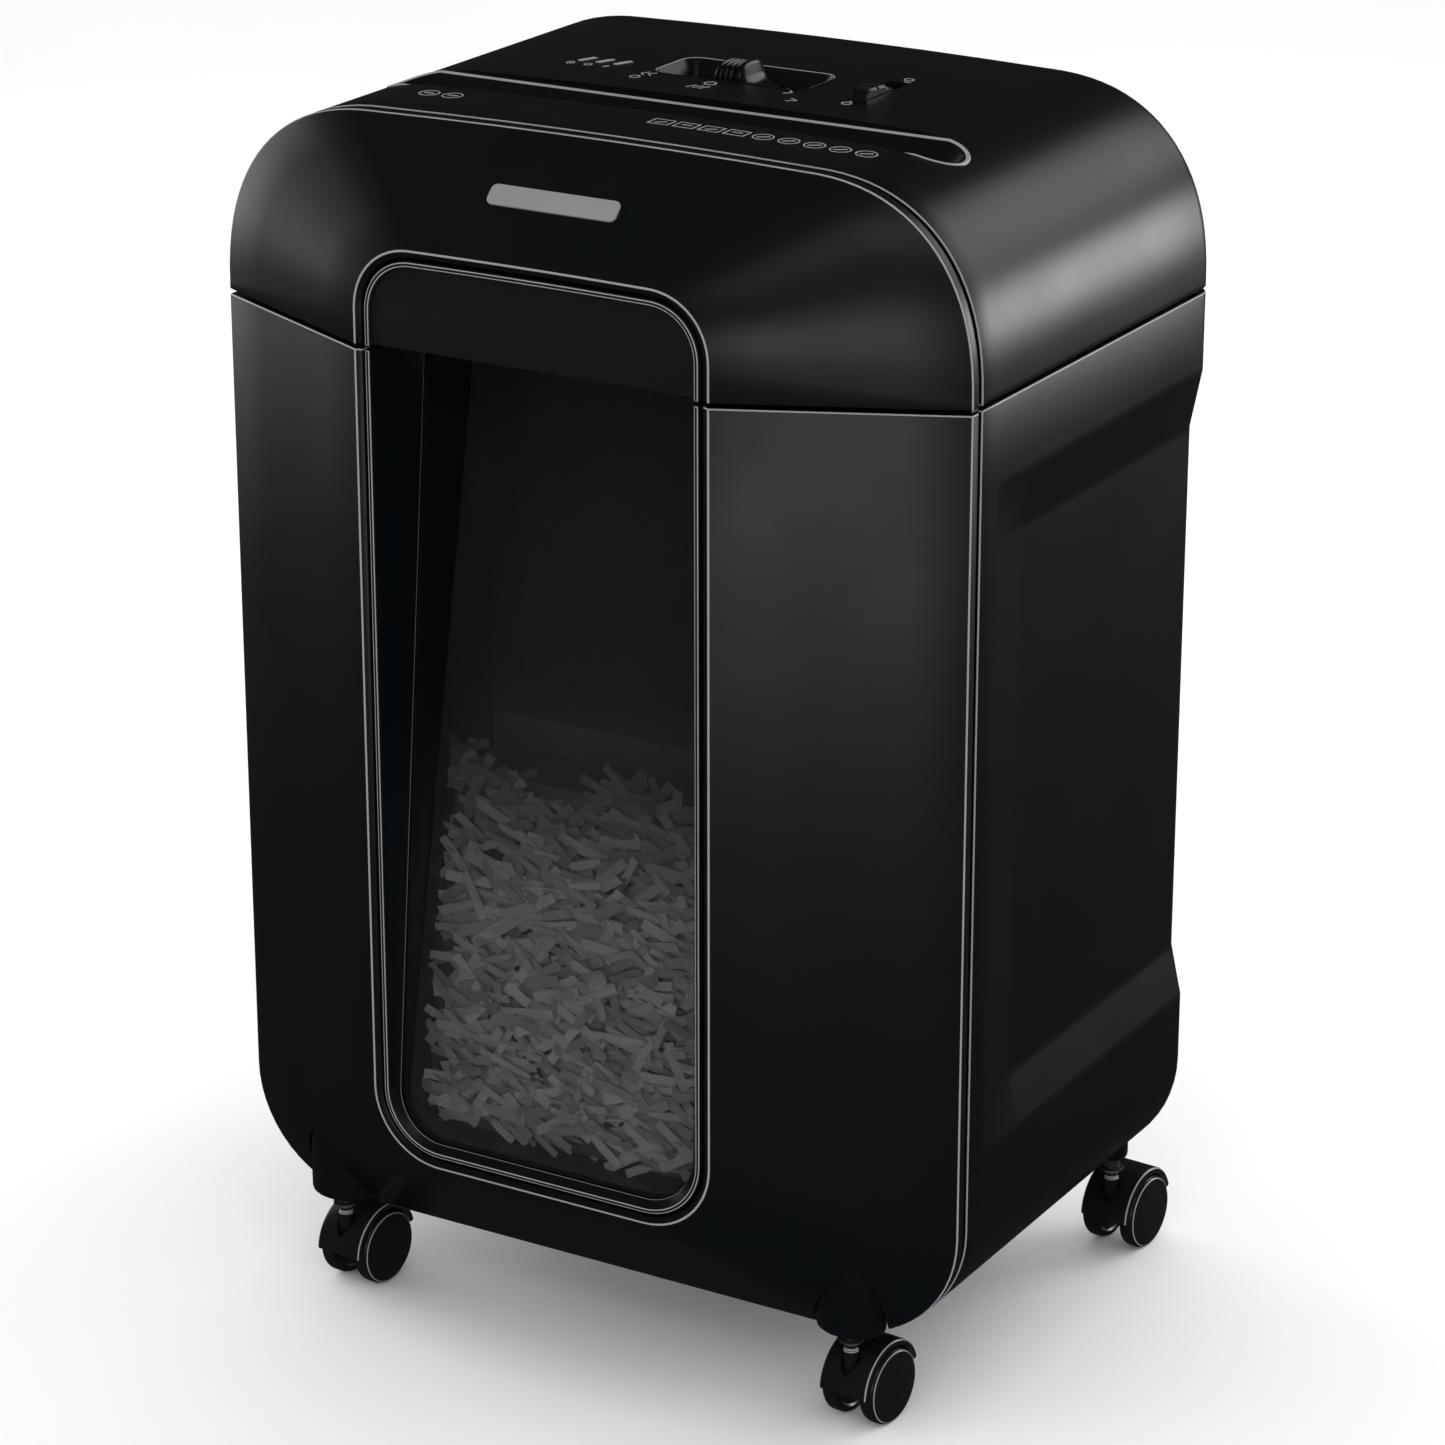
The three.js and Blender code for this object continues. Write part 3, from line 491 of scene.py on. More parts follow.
def shredded_paper():
    material, tree, shader = principled("shredded_paper", (0.5, 0.5, 0.5), 0.85)
    # Each face's grey comes from this attribute: a random tone per strip, times painted shade that darkens
    # the strips towards the top of the heap and darkens the sheet and heap behind them.
    tone_and_painted_shade = tree.nodes.new("ShaderNodeAttribute")
    tone_and_painted_shade.attribute_name = "tone_and_painted_shade"
    fibre = add_noise(tree, 900, 4)
    mix = tree.nodes.new("ShaderNodeMix")
    mix.data_type = "RGBA"
    mix.blend_type = "MULTIPLY"
    mix.inputs["Factor"].default_value = 0.3
    tree.links.new(tone_and_painted_shade.outputs["Color"], mix.inputs["A"])
    tree.links.new(fibre, mix.inputs["B"])
    tree.links.new(mix.outputs["Result"], shader.inputs["Base Color"])
    emboss(tree, shader, fibre, 0.2, 0.0001)
    return material


BLACK = moulded("black_plastic", (0.0013, 0.0027, 0.0038), 0.33, 0.25, 0.42)
PANEL = moulded("grey_panel_plastic", (0.0036, 0.0054, 0.0068), 0.42, 0.25, 0.4)
GLOSS = moulded("gloss_black_plastic", (0.0020, 0.0028, 0.0034), 0.2, 0.08, 0.5)
INSIDE = moulded("bin_plastic", (0.0040, 0.0050, 0.0058), 0.45)
CASTOR_PLASTIC = moulded("castor_plastic", (0.0034, 0.0046, 0.0056), 0.27, 0.1, 0.5)
# Painted highlight: a lighter grey on thin rounded-edge strips, standing in for the bright lines that
# light draws along those edges.
PAINTED_HIGHLIGHT = moulded("painted_edge_highlight", (0.19, 0.195, 0.20), 0.3, 0.05, 0.5)
RUBBER = moulded("black_rubber", (0.012, 0.012, 0.012), 0.6, 0.5)
NYLON = moulded("white_nylon", (0.62, 0.6, 0.52), 0.42, 0.1)
BOARD = moulded("circuit_board", (0.02, 0.09, 0.035), 0.4, 0.1)
PRINT = moulded("pale_print", (0.22, 0.225, 0.23), 0.5, 0.05)
LAMP = moulded("lamp_lens", (0.2, 0.21, 0.22), 0.15, 0.05)
STEEL = metal("ground_steel", (0.42, 0.43, 0.44), 0.3, (1, 30, 30))
DARK_STEEL = metal("blackened_steel", (0.09, 0.09, 0.095), 0.28, (30, 30, 1))
BRIGHT_STEEL = metal("plated_steel", (0.55, 0.56, 0.57), 0.2, (1, 1, 30))
SILVER = metal("badge_metal", (0.30, 0.305, 0.31), 0.32, (1, 30, 30), 0.3)
WINDOW = smoked_window()
PAPER = shredded_paper()


# ---- the front ----
LIP = 3
LIP_DROP = 1.2
GROOVE_DEPTH = 7
SPIGOT_LENGTH = 5.5
SPIGOT_INSET = 3
BEAD_OUTER = LIP + 1.2
BEAD_INNER = 6.8
BEAD_PROUD = 0.4


def front_skin():
    """The whole bulging front with its window opening and the spigot that fits inside the shells."""
    band_back = FRONT_SETBACK + FRONT_BAND
    spigot_back = band_back + SPIGOT_LENGTH
    inner_edge = place(opening_outline(0), "y", 0)
    outer_edge = place(body_outline(0), "y", FRONT_SETBACK)
    face = [between(inner_edge, outer_edge, share) for share in (0, 0.25, 0.5, 0.75, 1)]
    loops = face + [
        place(body_outline(0), "y", band_back),
        place(body_outline(SPIGOT_INSET), "y", band_back),
        place(body_outline(SPIGOT_INSET), "y", spigot_back),
        place(body_outline(SPIGOT_INSET + WALL), "y", spigot_back),
        place(body_outline(SPIGOT_INSET + WALL), "y", FRONT_SETBACK + WALL + 1.5),
        place(opening_outline(-1.5), "y", WALL + 1.5),
        place(opening_outline(0.8), "y", GROOVE_DEPTH),
        place(opening_outline(LIP), "y", GROOVE_DEPTH),
        place(opening_outline(LIP), "y", LIP_DROP),
    ]
    return skin(loops, closed=True)


SOCKET_STEPS = 48
SOCKET_ROOM = 0.7  # between a front castor socket and the bin front that passes round it


def socket_outline(x, y, half_width, half_depth, inset):
    turn = 360 / SOCKET_STEPS
    return arc(x, y, half_width - inset, half_depth - inset, 0, 360 - turn, SOCKET_STEPS - 1)


def socket_notch(side):
    """The room that a front castor socket needs in the bin front, open to the back."""
    x, y, _ = CASTORS["front_right"]
    half_width, half_depth, socket_top = SOCKETS["front"]
    reach = half_width + SOCKET_ROOM
    top = socket_top + SOCKET_ROOM
    post = prism(socket_outline(side * x, y, half_width, half_depth, -SOCKET_ROOM), "z", 30, top)
    slot = block((side * x - reach, y, 30), (side * x + reach, 2 * y, top))
    return carved(post, slot, operation="UNION")


def bezel_ring():
    """Bead, recess wall and crease round the window."""
    return skin(
        [
            place(opening_outline(BEAD_OUTER), "y", 9),
            place(opening_outline(BEAD_OUTER), "y", 1),
            place(opening_outline(BEAD_OUTER + 0.6), "y", BEAD_PROUD),
            place(opening_outline(BEAD_INNER - 0.6), "y", BEAD_PROUD),
            place(opening_outline(BEAD_INNER), "y", 1),
            place(opening_outline(10), "y", crease_y),
            place(opening_outline(8.4), "y", shifted(crease_y, 1.2)),
            place(opening_outline(BEAD_OUTER + 1.6), "y", 9),
        ],
        closed=True,
    )


def make_front():
    # Painted highlights on the roundings of the front's two rims, and of the split line on the lower part.
    rims = [("y", 0), ("y", FRONT_SETBACK)]
    fascia = keep_side(front_skin(), SPLIT + SPLIT_GAP, above=True)
    fascia = round_edges(fascia, 0.5, painted_highlights=rims)
    piece("fascia_shell", fascia, BLACK, "housing", ["head_fascia"])
    lower = keep_side(front_skin(), SPLIT, above=False)
    lower = round_edges(lower, 0.5, painted_highlights=[*rims, ("z", SPLIT)])
    lower = carved(lower, socket_notch(1), socket_notch(-1))
    piece("bin_front_shell", lower, BLACK, "bin", ["bin_front"])

    bezel = keep_side(bezel_ring(), SPLIT, above=False)
    # Painted highlights on the bead and on the crease round the window.
    bezel = round_edges(bezel, 0.25, 2, 20, [("y", BEAD_PROUD), ("y", crease_y)])
    piece("bezel_shell", bezel, BLACK, "bin", ["bin_bezel"])

    panel = skin(
        [
            place(opening_outline(BEAD_OUTER), "y", 8),
            place(opening_outline(BEAD_OUTER), "y", 1),
            place(opening_outline(BEAD_OUTER + 0.6), "y", BEAD_PROUD),
            place(opening_outline(BEAD_INNER - 0.6), "y", BEAD_PROUD),
            place(opening_outline(BEAD_INNER), "y", 1),
            place(opening_outline(BEAD_INNER + 0.3), "y", 3),
        ]
    )
    panel = keep_side(panel, SPLIT + SPLIT_GAP, above=True)
    # Painted highlight on the bead of the centre panel.
    panel = round_edges(panel, 0.25, 2, 20, [("y", BEAD_PROUD)])
    piece("centre_panel_shell", panel, PANEL, "housing", ["head_centre_panel"])

    surround = skin(
        [
            place(opening_outline(10.3), "y", shifted(crease_y, 1.6)),
            place(opening_outline(10.3), "y", 78),
            place(opening_outline(8.7), "y", 78),
            place(opening_outline(8.7), "y", shifted(crease_y, 1.6)),
        ],
        closed=True,
    )
    surround = round_edges(keep_side(surround, 424, above=False), 0.3, 2)
    piece("surround_shell", surround, GLOSS, "bin", ["window_surround"])

    pane = skin(
        [
            place(opening_outline(10.6), "y", window_y),
            place(opening_outline(10.6), "y", shifted(window_y, 2.6)),
        ]
    )
    pane = round_edges(keep_side(pane, 422, above=False), 0.5, 2)
    piece("window_pane", pane, WINDOW, "bin", ["bin_window"])


# ---- the shells behind the front ----
RECESS = {"front": 63, "floor_front": 93, "top": 402, "floor_top": 377, "floor_bottom": 146, "bottom": 124}
RECESS_DEPTH = 5
BEND = 2  # how far the shading of a bend in the side reaches, mm


def bends(*keys):
    """The recess edges named, each with a support line on either side of it."""
    return [RECESS[key] + offset for key in keys for offset in (-BEND, 0, BEND)]


RECESS_HEIGHTS = bends("bottom", "floor_bottom", "floor_top", "top")


def recess_depth(y, z):
    """How far the side is pressed in at a point of it."""
    from_front = (y - RECESS["front"]) / (RECESS["floor_front"] - RECESS["front"])
    from_bottom = (z - RECESS["bottom"]) / (RECESS["floor_bottom"] - RECESS["bottom"])
    from_top = (RECESS["top"] - z) / (RECESS["top"] - RECESS["floor_top"])
    return RECESS_DEPTH * max(0, min(1, from_front, from_bottom, from_top))


def shell_skin(pressed):
    """A cup with an open front: its inside from the back forwards, then its outside back again."""
    heights = RECESS_HEIGHTS if pressed else ()

    def loop(inset, y):
        points = []
        for x, z in body_outline(inset, heights):
            on_side = abs(abs(x) + inset - BODY_WIDTH / 2) < 0.01
            depth = recess_depth(y, z) if pressed and on_side else 0
            points.append((x - math.copysign(depth, x), y, z))
        return points

    stations = [SHELL_FRONT, *bends("front", "floor_front"), 150, 200, BODY_BACK - BACK_ROUND]
    inner = [loop(WALL, y) for y in reversed(stations)]
    outer = [loop(0, y) for y in stations]
    rounding = []
    for i in range(1, 9):
        angle = math.radians(90 * i / 8)
        inset = BACK_ROUND * (1 - math.cos(angle))
        y = BODY_BACK - BACK_ROUND + BACK_ROUND * math.sin(angle)
        rounding.append(loop(inset, y))
    back_inside = place(body_outline(BACK_ROUND, heights), "y", BODY_BACK - WALL)
    return skin([back_inside] + inner + outer + rounding)


def lamp_outline(x, inset):
    w, d, lean = 1.4 - inset, 4 - inset, 1.5
    return [
        (x - w - lean, LAMP_Y - d),
        (x + w - lean, LAMP_Y - d),
        (x + w + lean, LAMP_Y + d),
        (x - w + lean, LAMP_Y + d),
    ]


def vent_slot(number):
    start = VENT["first"] + VENT["pitch"] * number
    return block((start, 200, VENT["bottom"]), (start + VENT["width"], 300, VENT["top"]))


def make_cover():
    cover = keep_side(shell_skin(pressed=False), SPLIT + SPLIT_GAP, above=True)
    # Painted highlight on the rounding of the cover's front edge.
    cover = round_edges(cover, 0.5, painted_highlights=[("y", SHELL_FRONT)])
    cutters = [
        prism(rounded_box((0, ENTRY_Y), ENTRY_HALF, ENTRY_HALF[1] - 0.2, 16), "z", 400, 600),
        prism(rounded_box(SWITCH, SWITCH_HALF, 8), "z", *HEAD_CUT),
        prism(rounded_box(LOCK, LOCK_HALF, 2), "z", *HEAD_CUT),
        prism(circle(*GLAND, GLAND_RADIUS + GAP, 32), "y", 200, 300),
    ]
    cutters += [prism(lamp_outline(x, 0), "z", *HEAD_CUT) for x in LAMP_X]
    cutters += [vent_slot(number) for number in range(VENT["count"])]
    cover = carved(cover, *cutters)
    piece("cover_shell", cover, BLACK, "housing", ["head_cover"])


def make_cabinet():
    cabinet = keep_side(shell_skin(pressed=True), SPLIT, above=False)
    # Painted highlights on the roundings of the front edge and of the split line.
    cabinet = round_edges(cabinet, 0.5, painted_highlights=[("y", SHELL_FRONT), ("z", SPLIT)])
    piece("cabinet_body", cabinet, BLACK, "housing", ["cabinet_shell"])
    for name, (x, y, _) in CASTORS.items():
        half_width, half_depth, top = SOCKETS[name.split("_")[0]]
        loops = []
        for inset, rise in ((0, top - SOCKET_BOTTOM), (0, 2.5), (0.4, 1.1), (1.2, 0.3), (2.2, 0)):
            outline = socket_outline(x, y, half_width, half_depth, inset)
            loops.append(place(outline, "z", SOCKET_BOTTOM + rise))
        hole = circle(x, y, STEM_HOLE, SOCKET_STEPS)
        loops += [place(hole, "z", SOCKET_BOTTOM), place(hole, "z", SOCKET_BOTTOM + 6)]
        piece(f"castor_socket_{name}", skin(loops), BLACK, "housing")


# ---- the paper entry ----
def on_head(proud):
    """A level that follows the head's outer surface, a little proud of it or, if negative, under it."""
    return lambda x, y: surface_height(x) + proud


def make_entry():
    def rim(inset):
        half_width, half_depth = (half - inset for half in ENTRY_HALF)
        return rounded_box((0, ENTRY_Y), (half_width, half_depth), half_depth - 0.1, 16)

    def throat(extra):
        return rounded_box((0, ENTRY_Y - 3), (THROAT_HALF + extra, 3.5 + extra), 2 + extra, 16)

    edge = place(rim(2.2), "z", on_head(-0.2))
    bottom = place(throat(0), "z", THROAT_HEIGHT)
    funnel = [between(edge, bottom, share) for share in (0.06, 0.25, 0.5, 0.75)]
    # Bands 1 to 5, round the rim, take the painted highlight material.
    bezel = skin(
        [
            place(rim(GAP), "z", on_head(-WALL)),
            place(rim(GAP), "z", on_head(0.1)),
            place(rim(GAP + 0.25), "z", on_head(0.35)),
            place(rim(GAP + 0.7), "z", on_head(0.5)),
            place(rim(1.2), "z", on_head(0.4)),
            place(rim(1.7), "z", on_head(0.1)),
            edge,
            *funnel,
            bottom,
            place(throat(1.6), "z", THROAT_HEIGHT),
        ],
        closed=True,
        painted_highlights=(1, 2, 3, 4, 5),
    )
    piece("entry_funnel", bezel, BLACK, "housing", ["entry_bezel"])


# ---- the controls on the head ----
def stroke(start, end, width=0.5):
    """A short printed line on the head, a hair proud of it."""
    along = Vector((end[0] - start[0], end[1] - start[1])).normalized()
    u, v = -along.y * width / 2, along.x * width / 2
    outline = [
        (start[0] - u, start[1] - v),
        (end[0] - u, end[1] - v),
        (end[0] + u, end[1] + v),
        (start[0] + u, start[1] + v),
    ]
    return skin([place(outline, "z", on_head(-0.3)), place(outline, "z", on_head(0.1))])


def polyline(points, width=0.5):
    """Printed lines from point to point."""
    return [stroke(a, b, width) for a, b in zip(points, points[1:])]


def ring(x, y, radius, width=0.5):
    """A printed ring on the head."""
    outer, inner = circle(x, y, radius, 28), circle(x, y, radius - width, 28)
    loops = [place(outer, "z", on_head(-0.3)), place(outer, "z", on_head(0.1))]
    loops += [place(inner, "z", on_head(0.1)), place(inner, "z", on_head(-0.3))]
    return skin(loops, closed=True)


def make_switch():
    def rim(inset):
        return rounded_box(SWITCH, tuple(h - inset for h in SWITCH_HALF), 8 - inset, 10)

    # Band 3, the rim, takes the painted highlight material.
    tray = skin(
        [
            place(rim(6.4), "z", DISH_FLOOR + 1.6),
            place(rim(5.6), "z", DISH_FLOOR + 1.9),
            place(rim(1.9), "z", on_head(-0.5)),
            place(rim(1.4), "z", on_head(0.15)),
            place(rim(0.9), "z", on_head(0.3)),
            place(rim(GAP), "z", on_head(0)),
            place(rim(GAP), "z", on_head(-WALL)),
            place(rim(4), "z", DISH_FLOOR),
        ],
        painted_highlights=(3,),
    )
    x, y = SWITCH
    tray = carved(tray, block((x - 15.5, y - 3, 500), (x + 15.5, y + 3, 516)))
    piece("switch_tray", tray, BLACK, "housing", ["switch_dish"])

    base = DISH_FLOOR + 2
    plate = skin(
        [
            place(rounded_box(SWITCH, (17 - inset, 10.5 - inset), 3.5 - inset), "z", base + height)
            for inset, height in ((0, 0), (0, 1.7), (0.25, 2.15), (0.8, 2.4))
        ]
    )
    foot = base + 2.2
    stations = []  # four ridges across the grip, then a crest that runs out to the right
    for i in range(4):
        start = -8.6 + 2.3 * i
        stations += [(start, 9.9, 9.2), (start + 0.35, 10.4, 10.1), (start + 0.8, 10.5, 10.4)]
        stations += [(start + 1.3, 10.4, 10.1), (start + 1.65, 9.9, 9.2)]
    stations += [(1.2, 10.1, 10.3), (1.6, 10.6, 11), (2.6, 10.6, 11), (3.3, 10.4, 10.4), (3.9, 10.1, 9)]
    stations += [(4.4, 9.9, 6.6), (5.4, 9.8, 4.4), (7.2, 9.7, 2.6), (10, 9.6, 1.3), (13.5, 9.4, 0.5)]
    sections = [(shift, arc(y, foot, half, height, 0, 180, 20, 3.2)) for shift, half, height in stations]
    grip = skin([place(section, "x", x + shift) for shift, section in sections])
    shank = block((x - 4, y - 2.5, base - 8), (x + 4, y + 2.5, base + 1))
    knob = merged([plate, grip, shank])
    piece("switch_knob", knob, GLOSS, "control_knob", ["control_knob"], smooth_below=42)

    marks = [ring(x - 3, 144.5, 2.7), ring(x - 36, 140.5, 2.3)]
    for start, side in ((-36, -1), (29, 1)):
        for offset in (0, 3.4) if side < 0 else (0,):
            tip = start + side * 2.6 + offset
            marks += polyline([(tip - side * 2.6, 150.2), (tip, 147.4), (tip - side * 2.6, 144.6)])
    marks += [stroke((x - 8.5 + 3 * i, 134.5), (x - 6 + 3 * i, 139.5)) for i in range(3)]
    marks += polyline([(36, 139), (40, 136.5), (36, 134)])
    piece("switch_marks", merged(marks), PRINT, "housing")


def make_lock():
    x, middle = LOCK
    y = middle - LOCK_TRAVEL / 2
    under = surface_height(x) - WALL - 1
    stations = [(-13.2, 1.2), (-12.9, 1.9), (-10.5, 2.9), (-9.8, 4.6), (-8.6, 5.3), (-2.2, 5.1)]
    stations += [(-1.6, 4.2), (-1.1, 4.2), (-0.5, 5), (4.6, 4.6), (5.3, 3.6), (6, 3.6)]
    stations += [(9.5, 2.8), (13.2, 1.3)]
    outlines = []
    for along, height in stations:
        low, high = under - 1, BODY_TOP - 2 + height
        outlines.append(
            [(x - 3.8, y + along, low), (x + 3.8, y + along, low), (x + 3.8, y + along, high - 0.9)]
            + [(x + 3, y + along, high), (x - 3, y + along, high), (x - 3.8, y + along, high - 0.9)]
        )
    carriage = block((x - 7, y - 26, under - 2), (x + 7, y + 26, under))
    slider = merged([skin(outlines), carriage])
    node = "safety_lock_slider"
    piece("lock_slider", slider, GLOSS, "safety_lock", [node], smooth_below=30)
    marks = [ring(x - 0.5, middle - 24.5, 2.2), ring(x + 1, middle + 24.5, 2.2)]
    marks.append(stroke((x - 0.5, middle - 22.2), (x - 0.5, middle - 20.4)))
    marks.append(stroke((x + 1, middle + 20.2), (x + 4, middle + 20.2)))
    piece("lock_marks", merged(marks), PRINT, "housing")


def make_lamps():
    bar = block((LAMP_X[0] - 6, LAMP_Y - 5, 511), (LAMP_X[2] + 6, LAMP_Y + 5, 514))
    lenses = [bar]
    for x in LAMP_X:
        lenses.append(
            skin(
                [
                    place(lamp_outline(x, GAP), "z", 513),
                    place(lamp_outline(x, GAP), "z", on_head(0.1)),
                    place(lamp_outline(x, GAP + 0.3), "z", on_head(0.35)),
                ]
            )
        )
    lamps = merged(lenses)
    piece("lamp_lenses", lamps, LAMP, "housing", ["lamp_light_guide"])
    mark_y = LAMP_Y - 8.5
    marks = [ring(x - 3, mark_y, 1.9) for x in LAMP_X[:2]]
    marks.append(stroke((LAMP_X[2] - 3.6, LAMP_Y - 10), (LAMP_X[2] - 2.4, LAMP_Y - 7), 0.9))
    marks.append(stroke((LAMP_X[0] - 3, mark_y), (LAMP_X[0] - 3, LAMP_Y - 6.2)))
    piece("lamp_marks", merged(marks), PRINT, "housing")


MARK_Y = 78
MARK_HALF = 4.4
MARK_PITCH = 11.3
MARK_LINE = 0.45


def make_entry_marks():
    """A plain row of outlined spots and boxes in front of the entry."""
    marks = []
    for x in (-95, -84):
        marks.append(ring(x, MARK_Y, MARK_HALF, MARK_LINE))
        marks.append(stroke((x - 2.4, MARK_Y), (x + 2.4, MARK_Y), 0.9))
    for i in range(4):
        x = 13 + MARK_PITCH * i
        left, right = x - MARK_HALF, x + MARK_HALF
        low, high = MARK_Y - 3.6, MARK_Y + 3.6
        corners = [(left, low), (right, low), (right, high), (left, high), (left, low)]
        marks += polyline(corners, MARK_LINE)
        marks.append(stroke((x - 2.2, MARK_Y - 1.4 + 1.6 * (i % 2)), (x + 2.2, MARK_Y + 0.6), 0.8))
    for i in range(5):
        x = 58.5 + MARK_PITCH * i
        marks.append(ring(x, MARK_Y, MARK_HALF, MARK_LINE))
        marks.append(stroke((x - 2.2, MARK_Y - 1.6), (x + 2.2, MARK_Y + 1.6), 0.8))
    piece("entry_marks", merged(marks), PRINT, "housing")


def make_gland():
    profile = [(4, 4), (6.6, 4), (8.3, 3.6), (9, 2.6), (9, GAP)]
    profile += [(GLAND_RADIUS, GAP), (GLAND_RADIUS, -6), (4, -6)]
    loops = [place(circle(*GLAND, radius, 40), "y", BODY_BACK + along) for radius, along in profile]
    piece("gland_sleeve", skin(loops, closed=True), RUBBER, "housing", ["cord_gland"])


# ---- the castors, drawn with the stem at x = 0, y = 0 ----
def moved(bm, x, y, heading):
    """A mesh drawn round the stem axis, taken to a castor's place."""
    turn = Matrix.Rotation(math.radians(heading), 4, "Z")
    bm.transform(Matrix.Translation(at(x, y, 0)) @ turn @ Matrix.Translation(-at(0, 0, 0)))
    return bm


def castor_wheel(side):
    """One of the two wheels, with a painted highlight, a lighter grey ring, round the edge of its disc."""
    r, inner, outer = WHEEL_RADIUS, WHEEL_INNER, WHEEL_OUTER
    profile = [
        (0, inner),
        (7, inner),
        (8, inner + 0.6),
        (12.6, inner + 0.6),
        (13.4, inner),
        (r - 1.6, inner),
        (r - 0.5, inner + 0.4),
        (r, inner + 1.5),
        (r, outer - 2.6),
        (r - 0.3, outer - 1.9),
        (r - 0.5, outer - 1.7),
        (r - 0.7, outer - 1.7),
        (r - 0.8, outer - 1.35),
        (r - 1.2, outer - 1.05),
        (r - 1.7, outer - 0.95),
        (12, outer - 0.75),
        (9, outer - 0.35),
        (5, outer - 0.1),
        (0, outer),
    ]
    rim = profile.index((r - 0.8, outer - 1.35))
    profile = [(radius, side * along) for radius, along in profile]
    return turned(profile, "x", (0, CASTOR_TRAIL, WHEEL_RADIUS), 64, painted_highlights=(rim,))


def castor_hood():
    """The fender over both wheels, the web between them and the boss under the stem."""
    y, z = CASTOR_TRAIL, WHEEL_RADIUS
    back, front = FENDER_ENDS

    def shell(outer_radius, inner_radius):
        outer = arc(y, z, outer_radius, outer_radius, back, front, 40)
        return outer + arc(y, z, inner_radius, inner_radius, front, back, 40)

    levels = [(FENDER_HALF - inset, drop) for inset, drop in ((0, 1), (0.15, 0.6), (0.6, 0.15), (1.2, 0))]
    levels += [(-along, drop) for along, drop in reversed(levels)]
    loops = [place(shell(FENDER_RADIUS - drop, WHEEL_RADIUS + 0.9), "x", along) for along, drop in levels]
    # The bands near both ends of the fender take the painted highlight material.
    barrel = skin(loops, painted_highlights=(1, len(levels) - 3))
    core = arc(y, z, FENDER_RADIUS - 0.3, FENDER_RADIUS - 0.3, back, front, 40)
    web = prism(core + [(y - 6, z - 5), (y + 4, z - 5)], "x", -WHEEL_INNER + 0.6, WHEEL_INNER - 0.6)
    tip = z + 8.6
    half = [(0.8, tip), (2.6, tip + 2), (3.8, tip + 4.6), (4.9, tip + 7), (5.4, tip + 10), (5.4, 60)]
    notch_outline = half + [(-u, v) for u, v in reversed(half)]
    hood = carved(carved(barrel, web, operation="UNION"), prism(notch_outline, "y", -20, 2))
    # The boss's top rounding takes the painted highlight material.
    boss = turned(
        [
            (0, tip - 1),
            (1.2, tip - 0.8),
            (2.3, tip + 1),
            (BOSS_RADIUS, tip + 3.5),
            (BOSS_RADIUS, BOSS_TOP - 0.45),
            (BOSS_RADIUS - 0.4, BOSS_TOP),
            (0, BOSS_TOP),
        ],
        "z",
        (0, 0, 0),
        32,
        painted_highlights=(4,),
    )
    return merged([hood, boss])


def castor_stem():
    profile = [
        (0, 24),
        (1.9, 24),
        (1.9, BOSS_TOP + GAP),
        (2.8, BOSS_TOP + GAP),
        (2.8, BOSS_TOP + 1.1),
        (2.5, BOSS_TOP + 1.3),
        (1.9, BOSS_TOP + 1.3),
        (1.9, FLANGE_BOTTOM),
        (4.7, FLANGE_BOTTOM),
        (5.3, FLANGE_BOTTOM + 0.5),
        (5.3, FLANGE_BOTTOM + 1.1),
        (5, FLANGE_BOTTOM + 1.3),
        (3.5, FLANGE_BOTTOM + 1.3),
        (3.5, STEM_TOP),
        (0, STEM_TOP),
    ]
    # Bands 3 and 8, the collar's side and the flange's lower chamfer, take the painted highlight material.
    return turned(profile, "z", (0, 0, 0), 32, painted_highlights=(3, 8))


def make_castors():
    for name, spot in CASTORS.items():
        body = f"castor_{name}"
        node = f"{body}_hood"
        hood = moved(castor_hood(), *spot)
        piece(f"{node}_shell", hood, CASTOR_PLASTIC, body, [node], smooth_below=32)
        stem = moved(castor_stem(), *spot)
        piece(f"{body}_stem_rod", stem, DARK_STEEL, "housing", [f"{body}_stem"])
        for wheel_side, side in (("left", -1), ("right", 1)):
            wheel = moved(castor_wheel(side), *spot)
            node = f"{body}_wheel_{wheel_side}"
            piece(f"{node}_tyre", wheel, CASTOR_PLASTIC, node, [node])


# ---- the cut paper behind the window ----
HEAP_TOP = 262
STRIPS = 1150


def strip(chance, centre, length, width, curl, lean):
    """One cut strip, bent along its length, as a closed sheet 0.25 mm thick."""
    steps = 5
    sections = []
    for i in range(steps + 1):
        share = i / steps - 0.5
        bend = curl * (4 * share * share - 0.5)
        sections.append((share * length, bend))
    turn = Matrix.Rotation(chance.uniform(-0.4, 0.4), 3, "X") @ Matrix.Rotation(lean, 3, "Y")
    turn = Matrix.Rotation(chance.uniform(-0.2, 0.2), 3, "Z") @ turn
    loops = []
    for along, bend in sections:
        corners = [(along, bend, -width / 2), (along, bend, width / 2)]
        corners += [(along, bend + 0.25, width / 2), (along, bend + 0.25, -width / 2)]
        loops.append([tuple(turn @ Vector(corner) + Vector(centre)) for corner in corners])
    return skin(loops)


